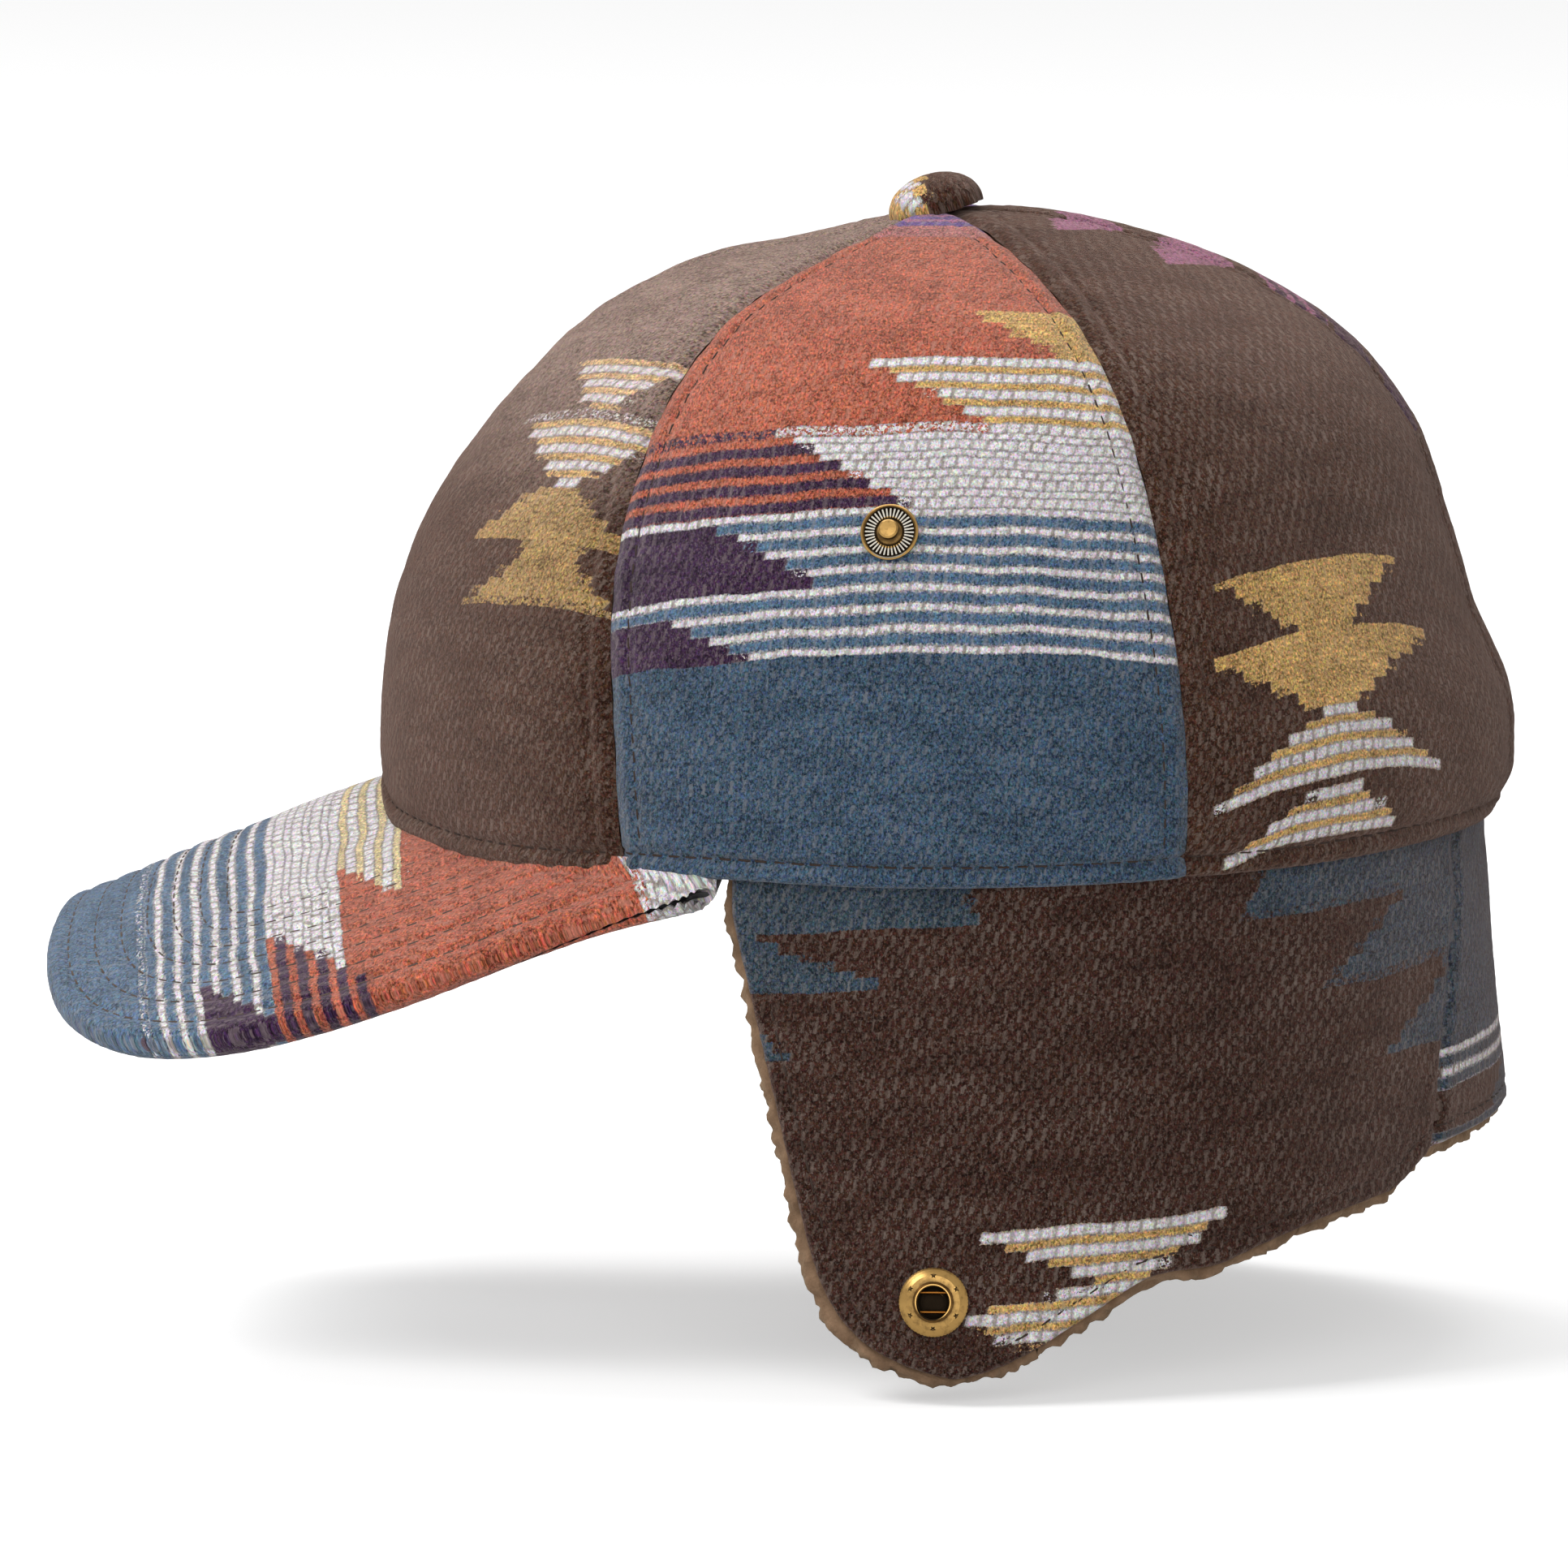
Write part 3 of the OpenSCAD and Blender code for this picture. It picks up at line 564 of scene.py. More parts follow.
def sherpa_fleece(name):
    """Knitted sherpa fleece: tan curls of polyester pile, matt and deep, with painted shade between the
    curls.
    """
    material, tree = new_material(name)
    flat = in_mm(tree)
    curl = add(tree, "TexVoronoi", {"Vector": flat, "Scale": 0.42, "Randomness": 1.0}, feature="SMOOTH_F1")
    fibre = noise(tree, flat, 1.5, 4.0, 0.7)
    patch = noise(tree, flat, 0.08)
    # Painted shade: the pile is painted darker between the curls
    depth = maths(tree, "MULTIPLY_ADD", curl, -0.7, 1.0)
    tone = maths(tree, "MULTIPLY_ADD", fibre, 0.6, depth)
    tone = maths(tree, "MULTIPLY_ADD", patch, 0.3, tone)
    share = spread(tree, tone, 0.6, 1.45)
    colour = mix(tree, share, linear("#4f3a2a"), linear("#8e725a"))
    finish_plainly(tree, colour, 1.0, {
        "Specular IOR Level": 0.1, "Sheen Weight": 0.35, "Sheen Roughness": 0.5,
        "Sheen Tint": linear("#e8d2b0"), "Normal": relief(tree, tone, 0.8, 0.8)})
    return material


def twill(name, dark, pale, rib=0.9):
    """Cotton twill, woven in fine diagonal ribs: plain, firm and nearly matt."""
    material, tree = new_material(name)
    flat = cloth_in_mm(tree)
    x = add(tree, "SeparateXYZ", {"Vector": flat})
    slant = maths(tree, "ADD", x, x.node.outputs[1])
    wave = maths(tree, "MULTIPLY", slant, 2 * math.pi / rib)
    wave = maths(tree, "SINE", wave)
    fibre = noise(tree, flat, 1.8, 3.0)
    tone = maths(tree, "MULTIPLY_ADD", wave, 0.22, 0.1)
    tone = maths(tree, "MULTIPLY_ADD", fibre, 0.8, tone)
    colour = mix(tree, tone, linear(dark), linear(pale))
    finish_plainly(tree, colour, 0.85, {
        "Specular IOR Level": 0.25, "Normal": relief(tree, tone, 0.5, 0.15)})
    return material


def antique_brass(name, centre=(0, 0), shade_to=-1.0, silver=(90.0, 91.0), beyond=0.0):
    """Stamped brass, blackened and rubbed back: bright warm metal where it is touched, dark in recesses.

    Round its centre it can be painted black up to a radius, as painted shade in a deep hole, and worn to
    silver between two.
    Beyond is how far out from the head, in mm, such painted shade starts.
    """
    material, tree = new_material(name)
    flat = in_mm(tree)
    sideways = vectors(tree, "MULTIPLY_ADD", flat, (0, 1, 1), (0, -centre[0], -centre[1]))
    radius = vectors(tree, "LENGTH", sideways, out=1)
    stain = noise(tree, flat, 0.8, 4.0, 0.65)
    grain = noise(tree, flat, 7.0)
    cover = add(tree, "AmbientOcclusion", {"Distance": 2.2 * MM}, out=1, samples=16)
    edge = add(tree, "AmbientOcclusion", {"Distance": 0.35 * MM}, out=1, samples=8, inside=True)
    worn = spread(tree, cover, 0.5, 0.97)
    worn = maths(tree, "MULTIPLY_ADD", stain, 0.7, worn)
    worn = spread(tree, worn, 0.55, 1.35)
    edges = spread(tree, edge, 0.85, 0.45, 0.0, 0.6)
    share = maths(tree, "ADD", worn, edges, use_clamp=True)
    dark = mix(tree, share, linear("#14100c"), linear("#6b5230"))
    bright = spread(tree, share, 0.7, 1.0)
    colour = mix(tree, bright, dark, linear("#a07f4a"))
    ring = maths(tree, "COMPARE", radius, sum(silver) / 2, (silver[1] - silver[0]) / 2)
    # Between the pale ribs the black stays in the grooves
    groove = maths(tree, "MULTIPLY", ring, 0.85)
    colour = mix(tree, groove, colour, linear("#17120d"))
    ribs = spread(tree, edge, 0.85, 0.6)
    ring = maths(tree, "MULTIPLY", ring, ribs)
    colour = mix(tree, ring, colour, linear("#aaa59a"))
    # Painted shade: round the centre, the inside of a deep hole is painted near black
    hole_shade = spread(tree, radius, shade_to + 0.15, shade_to)
    outward = add(tree, "SeparateXYZ", {"Vector": flat})
    outward = maths(tree, "ABSOLUTE", outward)
    outward = maths(tree, "GREATER_THAN", outward, beyond)
    hole_shade = maths(tree, "MULTIPLY", hole_shade, outward)
    colour = mix(tree, hole_shade, colour, linear("#120d08"))
    rough = spread(tree, share, 0.2, 1.0, 0.6, 0.3)
    finish_plainly(tree, colour, rough, {"Metallic": 1.0, "Normal": relief(tree, grain, 0.25, 0.05)})
    return material


def plain_steel(name, tone):
    """Zinc plated steel, as pressed: a dull grey sheen with fine scratches."""
    material, tree = new_material(name)
    flat = in_mm(tree)
    grain = noise(tree, flat, 3.0, 3.0)
    rough = spread(tree, grain, 0.0, 1.0, 0.25, 0.5)
    finish_plainly(tree, linear(tone), rough, {"Metallic": 1.0})
    return material


def moulded_board(name):
    """Moulded polyethylene sheet: waxy, with a faint grain from the mould."""
    material, tree = new_material(name)
    place = add(tree, "TexCoord", {}, out=3)
    grain = noise(tree, place, 1800.0)
    tone = mix(tree, grain, linear("#161617"), linear("#2a2a2c"))
    dull = spread(tree, grain, 0.0, 1.0, 0.42, 0.6)
    finish_plainly(tree, tone, dull, {"Normal": relief(tree, grain, 0.3, 0.1)})
    return material


def sewing_thread(name, dark, pale):
    """Spun polyester sewing thread: a dark matt twist."""
    material, tree = new_material(name)
    flat = in_mm(tree)
    fibre = noise(tree, flat, 3.0)
    colour = mix(tree, fibre, linear(dark), linear(pale))
    finish_plainly(tree, colour, 0.8, {"Specular IOR Level": 0.3})
    return material


# Motifs, in mm of cloth: up from the rim, and across from the middle of the panel to the back
TO_LEFT, TO_RIGHT = (-200, -200), (200, 200)    # right across the piece
SIDE_MOTIFS = [
    ((41.5, 68.5), TO_LEFT, TO_RIGHT, "steel/white"),
    ((68.5, 83.2), TO_LEFT, TO_RIGHT, "white"),
    ((83.2, 139), TO_LEFT, TO_RIGHT, "orange"),
    ((137, 143), TO_LEFT, TO_RIGHT, "rose"),
    ((143, 180), TO_LEFT, TO_RIGHT, "violet/mauve"),
    ((68.3, 83.2), TO_LEFT, (3, -22), "purple/orange"),
    ((53.6, 66.5), TO_LEFT, (-11, -34), "purple"),
    ((40.7, 49.9), TO_LEFT, (-23, -42), "purple"),
    ((83.2, 98.1), (17, -7), TO_RIGHT, "white/mustard"),
    ((98.1, 111), (29, 9), TO_RIGHT, "mustard"),
]
FRONT_MOTIFS = [
    ((76.5, 90), (13, -3), (18, 26), "white/mustard"),
    ((61, 76), (18, -4), (22, 38), "white/mustard"),
    ((49.9, 61), (1, 14), (43, 21), "ochre"),
    ((47, 49.9), (17, 17), (31, 31), "ochre"),
    ((38.5, 47), (6, 19), (45, 29), "ochre"),
]
REAR_MOTIFS = [
    ((40.7, 53), (-21, -37), (-12, 6), "mustard"),
    ((27.5, 40.7), (-25, -42), (-13, 11), "mustard"),
    ((14.8, 27.5), (-46, -20), (6, -17), "white/mustard"),
    ((3.7, 13), (-45, -24), (-5, -17), "white/mustard"),
    ((124, 135), (2, 12), (30, 26), "mauve"),
    ((141.5, 149.5), (-3, 3), (30, 30), "mauve"),
]
REAR_RIGHT_MOTIFS = REAR_MOTIFS + [
    ((108, 118), (14, 8), (40, 30), "purple/mauve"),
    ((98, 106), (20, 14), (45, 34), "purple"),
    ((86, 95), (30, 22), (48, 44), "purple"),
]
FLAP_MOTIFS = [
    ((-8.5, 30), TO_LEFT, (46, 36), "navy"),
    ((-19.5, -8.5), TO_LEFT, (30, 4), "navy"),
    ((-32, -24.5), TO_LEFT, (14, 3), "navy"),
    ((-13.3, 30), (96, 112), TO_RIGHT, "navy"),
    ((-27.5, -13.3), (112, 134), TO_RIGHT, "navy"),
    ((-42.3, -27.5), (126, 151), TO_RIGHT, "navy"),
    ((-75.5, -63.5), (69, 44), (74, 92), "white/mustard"),
    ((-78.6, -75.5), (41, 60), (84, 79), "white/mustard"),
    ((-84.5, -78.6), (53, 42), (64, 80), "white/mustard"),
    ((-43.8, 30), (143, 155), TO_RIGHT, "navy"),
    ((-51.3, -43.8), (141, 143), TO_RIGHT, "navy/white"),
    ((-59.3, -51.3), (139, 141), TO_RIGHT, "navy"),
    ((-59.3, -51.3), (139, 141), (160, 172), "umber"),
    ((-70, -59.3), (136, 139), TO_RIGHT, "white/navy"),
]
VISOR_MOTIFS = [
    ((18.5, 42.5), TO_LEFT, TO_RIGHT, "steel/white"),
    ((42.5, 56.5), TO_LEFT, TO_RIGHT, "white"),
    ((56.5, 120), TO_LEFT, TO_RIGHT, "orange"),
    ((56.5, 70), (-38, -60), (38, 60), "white/cream"),
    ((42.5, 60), (54, 80), TO_RIGHT, "purple/orange"),
    ((42.5, 60), TO_LEFT, (-54, -80), "purple/orange"),
    ((29.6, 42.5), (62, 82), TO_RIGHT, "purple"),
    ((29.6, 42.5), TO_LEFT, (-62, -82), "purple"),
    ((16, 26), (71, 82), TO_RIGHT, "purple"),
    ((16, 26), TO_LEFT, (-71, -82), "purple"),
    ((113, 116), TO_LEFT, (-77, -72), "white"),
    ((113, 116), (77, 72), TO_RIGHT, "white"),
    ((116, 150), TO_LEFT, TO_RIGHT, "white"),
]

# The front's wool gets a painted highlight, paler higher up the crown
wool_front = blanket_wool("blanket wool, brown ground with stepped hourglass", "brown", FRONT_MOTIFS,
                          painted_top_light=0.33)
wool_side = blanket_wool("blanket wool, blue and orange bands", "blue", SIDE_MOTIFS)
wool_rear = blanket_wool("blanket wool, brown ground with stepped diamonds", "brown", REAR_MOTIFS)
wool_rear_right = blanket_wool("blanket wool, brown ground with purple steps", "brown", REAR_RIGHT_MOTIFS)
wool_flap = blanket_wool("blanket wool, brown ground with blue arrows", "umber", FLAP_MOTIFS, phase=1.8)
wool_visor = blanket_wool("blanket wool, visor bands", "steel", VISOR_MOTIFS, phase=1.3)
fleece = sherpa_fleece("tan sherpa fleece")
lining_twill = twill("brown lining twill", "#3a2a21", "#6b5344", rib=1.1)
band_twill = twill("black sweatband twill", "#17130f", "#3b332c", rib=0.8)


def middle_of(node):
    low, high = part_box(node)
    return (low.y + high.y) / 2 / MM, (low.z + high.z) / 2 / MM


brass = antique_brass("antique brass, stamped")
brass_stud = antique_brass("antique brass, ribs worn pale",
                           middle_of("snap_stud_left"), silver=(2.7, 4.4))
# The socket's mouth, and the cap's middle seen through it, are painted near black as painted shade
brass_socket = antique_brass("antique brass, round a deep mouth",
                             middle_of("snap_socket_left"), shade_to=2.75)
cap_low, cap_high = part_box("snap_cap_left")
brass_cap = antique_brass("antique brass, with a post in the mouth",
                          middle_of("snap_cap_left"), shade_to=3.0,
                          beyond=(cap_low.x * 0.5 + cap_high.x * 0.5) / MM)
steel = plain_steel("zinc plated steel", "#9a9a98")
spring_steel = plain_steel("brass spring wire", "#7d4f1f")
thread = sewing_thread("dark brown sewing thread", "#1d1511", "#3c2d25")
board_plastic = moulded_board("black polyethylene board, moulded")

BUTTON_MOTIFS = [
    ((-20, 20), TO_LEFT, (-1.8, -1.8), "mustard"),
    ((-20, 20), TO_LEFT, (-3.6, -3.6), "white"),
    ((-20, 20), TO_LEFT, (-6.4, -6.4), "mustard"),
]
wool_button = blanket_wool("blanket wool, button", "brown", BUTTON_MOTIFS)
visor_thread = sewing_thread("grey-brown sewing thread", "#2a2320", "#5a4b42")

panel_rows = {}         # where each panel's rows of stitches run: points and outward directions
hem_rows = {}           # and the flap's


# ---- Crown panels ----
RIM_ROLL = 1.1          # radius of the turned rim
HEM_ROW = 3.6           # the rim's row of stitches, up from the edge
SEAM_ROW = 4.6          # the topstitching beside each seam
PANEL_LOW, PANEL_HIGH = 0.0095, 0.984           # shares of the way up between which a panel runs


def wave_sum(*terms):
    """Gentle unevenness from a few slow waves: each term is (place, wavelength, phase)."""
    return sum(np.sin(place * 2 * np.pi / length + phase) for place, length, phase in terms) / len(terms)


def panel_piece(panel, side, start, end, middle, cloth_k, cloth_lean, material):
    mirrored = side == "right"
    rows, cols = 128, 84
    climb = np.linspace(0, 1, rows)
    share = (PANEL_LOW + (PANEL_HIGH - PANEL_LOW) * climb)[:, None] + np.zeros(cols)
    f = np.linspace(0, 1, cols)
    f = f - 0.035 * np.sin(2 * np.pi * f)       # columns crowd towards the seams
    left, right = seam_angle(start, share), seam_angle(end, share)
    angle = left + (right - left) * f
    point = crown_point(angle, share)
    normal = crown_normal(angle, share)
    point[..., 2] -= rim_dip(angle) * (1 - ease(point[..., 2] - rim_z(angle), 0, 30))
    # Distances along the cloth
    across, up, area = run_over(point)
    up = up + RIM_ROLL
    width = across[:, -1:]
    from_seam = np.minimum(across, width - across)
    # Cloth places: across from the middle line, and up along it to the same level
    centre = np.linspace(0, 1, 400)
    line = crown_point(np.full(400, float(middle)), centre)
    length = run_of(line)
    zero = np.array([np.interp(middle, angle[r], across[r]) for r in range(rows)])[:, None]
    a = across - zero
    level = np.interp(point[..., 2], line[:, 2], length) + np.minimum(point[..., 2] - line[0, 2], 0)
    cloth = np.stack([a, level + cloth_k * a ** 2 - cloth_lean * a], -1)
    # The panel puffs between its seams, which are pulled in, and is dented by its stitching
    fade = np.clip(width / 30, 0, 1)
    puff = -0.4 * np.exp(-(from_seam / 8) ** 2) * fade
    seam = -1.3 * np.exp(-(from_seam / 1.4) ** 2)
    beat = 0.75 + 0.25 * np.cos(up * 2 * np.pi / STITCH)
    dents = -0.6 * np.exp(-((from_seam - SEAM_ROW) / 0.7) ** 2) * beat * fade
    hem = -1.15 * np.exp(-((up - HEM_ROW) / 0.7) ** 2) * (0.8 + 0.2 * np.cos(across * 2 * np.pi / STITCH))
    hem = hem + 0.5 * np.exp(-((up - 1.5) / 1.2) ** 2)
    pull = np.exp(-from_seam / 7) * wave_sum((up, 23, start), (up, 13.7, 1 + end), (up, 9.1, 2.0))
    slack = wave_sum((up + 0.3 * a, 61, start), (a - 0.4 * up, 47, end), (up - 0.8 * a, 83, 1.3))
    lift = puff + seam + dents + hem + 0.35 * pull * fade + 0.3 * slack * fade - 0.2
    point = point + normal * lift[..., None]
    if not mirrored:
        low_line = np.stack([read_off(HEM_ROW, up[:, c], point[:, c]) for c in range(cols)])
        lines = {}
        for label, distance, flip in (("start", across, 1), ("end", width - across, -1)):
            use = range(6, rows - 16)
            spots = [read_off(SEAM_ROW, distance[r][::flip], point[r, ::flip]) for r in use]
            ups = [read_off(SEAM_ROW, distance[r][::flip], normal[r, ::flip]) for r in use]
            lines[label] = np.array(spots), np.array(ups)
        # Only the side panels are topstitched along both seams; the others share those rows
        panel_rows[panel] = ((low_line, normal[3]), lines["start"] if panel != "rear" else None,
                             lines["end"] if panel != "front" else None)
    # The rim turns in on itself
    down = unit(point[0] - point[2])
    roll = []
    for turn in np.radians([170, 145, 120, 95, 70, 45, 22]):
        roll.append(point[0] + down * RIM_ROLL * np.sin(turn) - normal[0] * RIM_ROLL * (1 - np.cos(turn)))
    inside = roll[0] - down * 6
    point = np.concatenate([[inside], roll, point])
    drop = np.array([10, 4.6, 4.0, 3.2, 2.5, 1.8, 1.2, 0.6])[:, None]
    turned = np.stack([np.tile(cloth[0, :, 0], (8, 1)), cloth[0, :, 1] - drop], -1)
    cloth = np.concatenate([turned, cloth])
    piece = cloth_piece(f"wool_{panel}_{side}", point, cloth, material, mirrored=mirrored)
    roughen(piece, *NAP)
    stands_for(piece, f"crown_panel_{panel}_{side}")


# Each panel's seams and middle as angles, and how its cloth bows and leans
PANELS = {
    "front": (0, 60, 28.0, 0.0042, 0.233, wool_front),
    "side": (60, 120, 88.0, 0.0018, 0.044, wool_side),
    "rear": (120, 180, 150.0, 0.0057, -0.136, wool_rear),
}
for panel, (*cut, wool) in PANELS.items():
    panel_piece(panel, "left", *cut, wool)
    panel_piece(panel, "right", *cut, wool_rear_right if panel == "rear" else wool)

# ---- Flap ----
RIM_ANGLES = np.arange(60, 300.5, 0.5)
rim_line = flap_point(np.where(RIM_ANGLES > 180, 360 - RIM_ANGLES, RIM_ANGLES), -8.0, FLAP_DEPTH)
rim_line[RIM_ANGLES > 180] *= (-1, 1, 1)
RIM_LENGTH = run_of(rim_line)
RIM_LENGTH -= np.interp(FLAP_FRONT, RIM_ANGLES, RIM_LENGTH)


def cloth_x(angle):
    """Millimetres of cloth round the rim from the flap's front edge."""
    return np.interp(angle, RIM_ANGLES, RIM_LENGTH)


def near_side(angle):
    return np.where(angle > 180, 360 - angle, angle)


def flap_xyz(angle, z, depth):
    """A point of the flap at any angle, also past the middle of the back."""
    # The ear's tip is cut round, a little short of the depth that its sides run to
    z = z + TIP_CUT * np.clip((TIP_FROM - z) / (TIP_FROM + EAR_DROP), 0, 1) ** 3
    p = flap_point(near_side(angle), z, depth)
    return p * np.where(angle > 180, -1.0, 1.0)[..., None] ** np.array([1, 0, 0])


def free_edge(trim):
    """The flap's free edge on the cloth, from the fold at the front to the middle of the back."""
    v = np.linspace(0, 1, 160)
    angle = flap_front(v)
    low = hem_z(angle)
    top = fold_z(angle)
    front = np.stack([cloth_x(angle) + trim, top + (low + trim - top) * v], -1)
    above = np.stack([np.full(12, cloth_x(FLAP_FRONT) + trim), np.linspace(12, front[0, 1], 12)], -1)
    back = np.linspace(95, 200, 220)
    hem = np.stack([cloth_x(back), hem_z(near_side(back)) + trim], -1)
    return np.concatenate([above, front, hem])


def distance_to(points, line):
    """Distance from each point of a grid to the nearest place on a line."""
    first, step = line[:-1], np.diff(line, axis=0)
    out = np.empty(points.shape[:2])
    for r, row in enumerate(points):
        away = row[:, None] - first
        k = np.clip((away * step).sum(2) / np.maximum((step ** 2).sum(1), 1e-9), 0, 1)
        out[r] = np.linalg.norm(away - k[..., None] * step, axis=2).min(1)
    return out


MM_A_DEGREE = 1.65      # cloth round the rim in one degree, near the front edge
FLAP_TALL = 112.0       # enough for the deepest stretch
ROWS_CROWD = 1.15       # rows crowd towards the hem


def flap_grid(start, end, trim, step, top_rise):
    """Angles, heights and distances from the free edge over one stretch of the flap."""
    rows = int(FLAP_TALL / step)
    cols = int((cloth_x(end) - cloth_x(start)) / step) + 2
    v = np.linspace(0, 1, rows)
    v = 1 - (1 - v) ** ROWS_CROWD
    u = np.linspace(0, 1, cols)
    lead = start == FLAP_FRONT
    if lead:
        u = u ** 1.25       # columns crowd towards the front edge
    v, u = np.meshgrid(v, u, indexing="ij")
    angle = start + (end - start) * u
    for _ in range(3):
        top = rim_z(near_side(angle)) + top_rise
        low = hem_z(near_side(angle)) + trim
        z = top + (low - top) * v
        fold = fold_z(near_side(angle))
        below = np.clip((z - fold) / (low - fold), 0, 1)
        first = flap_front(below) + trim / MM_A_DEGREE if lead else start
        angle = first + (end - first) * u
    x = cloth_x(angle)
    return angle, z, x, distance_to(np.stack([x, z], -1), free_edge(trim))


def rounded(edge, thickness):
    """Half the thickness at a distance from the free edge, where the sheet is rounded over."""
    radius = thickness * 0.6
    k = 1 - np.clip(edge / radius, 0, 1)
    return thickness / 2 * np.sqrt(np.clip(1 - k ** 2, 0.0, 1))


FLAP_SLANT = 0.07       # the rows of the flap's cloth run down a little towards the front
HEM_STITCH = 3.3        # the flap's stitching, in from the wool's edge
SEAM_TOP, SEAM_FOOT = 153.0, 139.5      # the flap's side seam, in mm of cloth, at the rim and at the hem


def flap_seam_distance(x, z):
    line = SEAM_FOOT + (SEAM_TOP - SEAM_FOOT) * np.clip((z + 57) / 45, 0, 1)
    mirror = 2 * cloth_x(180) - x
    return np.minimum(np.abs(x - line), np.abs(mirror - line))


def wool_stretch(name, nodes, body, start, end, mirrored):
    angle, z, x, edge = flap_grid(start, end, FLEECE_SHOW, 1.0, 7.5)
    half = rounded(edge, WOOL_T)
    seam = flap_seam_distance(x, z)
    beat = 0.65 + 0.35 * np.cos((x + z) * 2 * np.pi / STITCH)
    lift = -0.5 * np.exp(-((edge - HEM_STITCH) / 0.8) ** 2) * beat
    lift = lift - 0.9 * np.exp(-(seam / 1.2) ** 2) + 0.35 * np.exp(-((seam - 3) / 2) ** 2)
    slack = wave_sum((x, 53, 0.4), (x + 0.6 * z, 37, 2.1), (z, 71, 1.2))
    lift = lift + 0.5 * slack * np.clip((fold_z(near_side(angle)) - z) / 15, 0, 1) * np.clip(edge / 6, 0, 1)
    mid = FLAP_DEPTH + WOOL_T / 2
    outer = flap_xyz(angle, z, mid - half - lift)
    inner = flap_xyz(angle, z, mid + half)
    near_x = np.minimum(x, 2 * cloth_x(180) - x)
    cloth = np.stack([near_x, z - FLAP_SLANT * (near_x - 70)], -1)
    piece = cloth_piece(name, outer[::-1], cloth[::-1], wool_flap, inner=inner[::-1], mirrored=mirrored)
    roughen(piece, *NAP)
    # Its stitches run where the cloth is just so far from its free edge
    both = np.concatenate([outer, -unit(inner - outer + 1e-9)], -1)
    sewn = []
    for c, gaps in enumerate(edge.T):
        inside = np.where(gaps > HEM_STITCH)[0]
        if len(inside) and inside[-1] + 1 < len(gaps):
            last = inside[-1]
            row = last + (gaps[last] - HEM_STITCH) / (gaps[last] - gaps[last + 1])
            sewn.append(read_off(row, np.arange(len(gaps)), both[:, c]))
    sewn = np.array(sewn)
    hem_rows[name.replace("wool_flap_", "")] = (sewn[:, :3], sewn[:, 3:])
    hinge(piece, body, start, end)
    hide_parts(*nodes)


def hinge(piece, body, start, end):
    """Bakes the piece's place into its mesh."""
    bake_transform(piece)


def fleece_stretch(name, nodes, body, start, end, mirrored):
    angle, z, x, edge = flap_grid(start, end, 0.0, 0.95, -0.5)
    half = rounded(edge, FLEECE_T + 0.6)
    below = rim_z(near_side(angle)) - z
    tuck = np.clip(below / 6, 0, 1) ** 0.5
    mid = FLEECE_DEPTH + FLEECE_T / 2
    outer = flap_xyz(angle, z, mid - half)
    inner = flap_xyz(angle, z, mid - half + 2 * half * (0.35 + 0.65 * tuck))
    cloth = np.stack([x, z], -1)
    piece = cloth_piece(name, outer[::-1], cloth[::-1], fleece, inner=inner[::-1], mirrored=mirrored)
    # Curls stand on the side towards the head and round the edge
    n = angle.size
    pile = piece.vertex_groups.new(name="pile")
    place = np.array([v.co for v in piece.data.vertices]) / MM
    if mirrored:
        place = place * (-1, 1, 1)
    curls = np.concatenate([outer.reshape(-1, 3), inner.reshape(-1, 3)])
    weights = np.concatenate([np.clip(1.2 - edge.ravel() / 4, 0.0, 1), np.ones(n)])
    order = {tuple(np.round(p, 2)): w for p, w in zip(curls, weights)}
    for index, p in enumerate(place):
        weight = order.get(tuple(np.round(p, 2)), 1.0)
        if weight > 0:
            pile.add([index], float(weight), "REPLACE")
    roughen(piece, "VORONOI", 2.6, -1.9, "pile")
    roughen(piece, "CLOUDS", 1.3, 0.9, "pile")
    hinge(piece, body, start, end)
    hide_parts(*nodes)


for side in ("left", "right"):
    for part, start, end in FLAP_PARTS:
        where = (f"{part}_flap_{side}", start, end, side == "right")
        wool_stretch(f"wool_flap_{part}_{side}", [f"{part}_flap_shell_{side}"], *where)
        fleece_stretch(f"fleece_flap_{part}_{side}", [f"{part}_flap_fleece_{side}"], *where)
wool_stretch("wool_flap_neck", ["neck_flap_shell", "flap_heading"], "neck_flap", *NECK, False)
fleece_stretch("fleece_flap_neck", ["neck_flap_fleece", "flap_heading_fleece"], "neck_flap", *NECK, False)


# ---- Visor ----
VISOR_END = 69.5        # angle at which the visor's edge ends
VISOR_ROOT_END = 71.2   # and its root, under the rim
VISOR_REACH = 58.5
VISOR_HALF_W = 78.0
VISOR_SLOPE = 22.5
VISOR_DROP = 33.5
VISOR_POWER = 2 / 3.7
VISOR_HALF_T = 3.3
VISOR_BULGE = 0.5
ROOT_Y = -HALF_L * math.cos(math.radians(VISOR_END))


def visor_ends(angle):
    """Where the visor's middle surface starts under the rim and where it ends, at an angle."""
    turn = angle * VISOR_ROOT_END / VISOR_END
    root = crown_point(turn, 0 * turn) - 1.1 * crown_normal(turn, 0 * turn)
    root = np.stack([root[..., 0], root[..., 1], rim_z(turn) - rim_dip(turn) - VISOR_HALF_T + 0.1], -1)
    k = np.radians(90 * angle / VISOR_END)
    x = np.sign(k) * VISOR_HALF_W * np.abs(np.sin(k)) ** VISOR_POWER
    y = ROOT_Y - (HALF_L + VISOR_REACH + ROOT_Y) * np.maximum(np.cos(k), 0) ** VISOR_POWER
    z = (RIM_FRONT - VISOR_HALF_T - (-y - HALF_L) * math.tan(math.radians(VISOR_SLOPE))
         - VISOR_DROP * (x / VISOR_HALF_W) ** 2)
    return root, np.stack([x, y, z], -1)


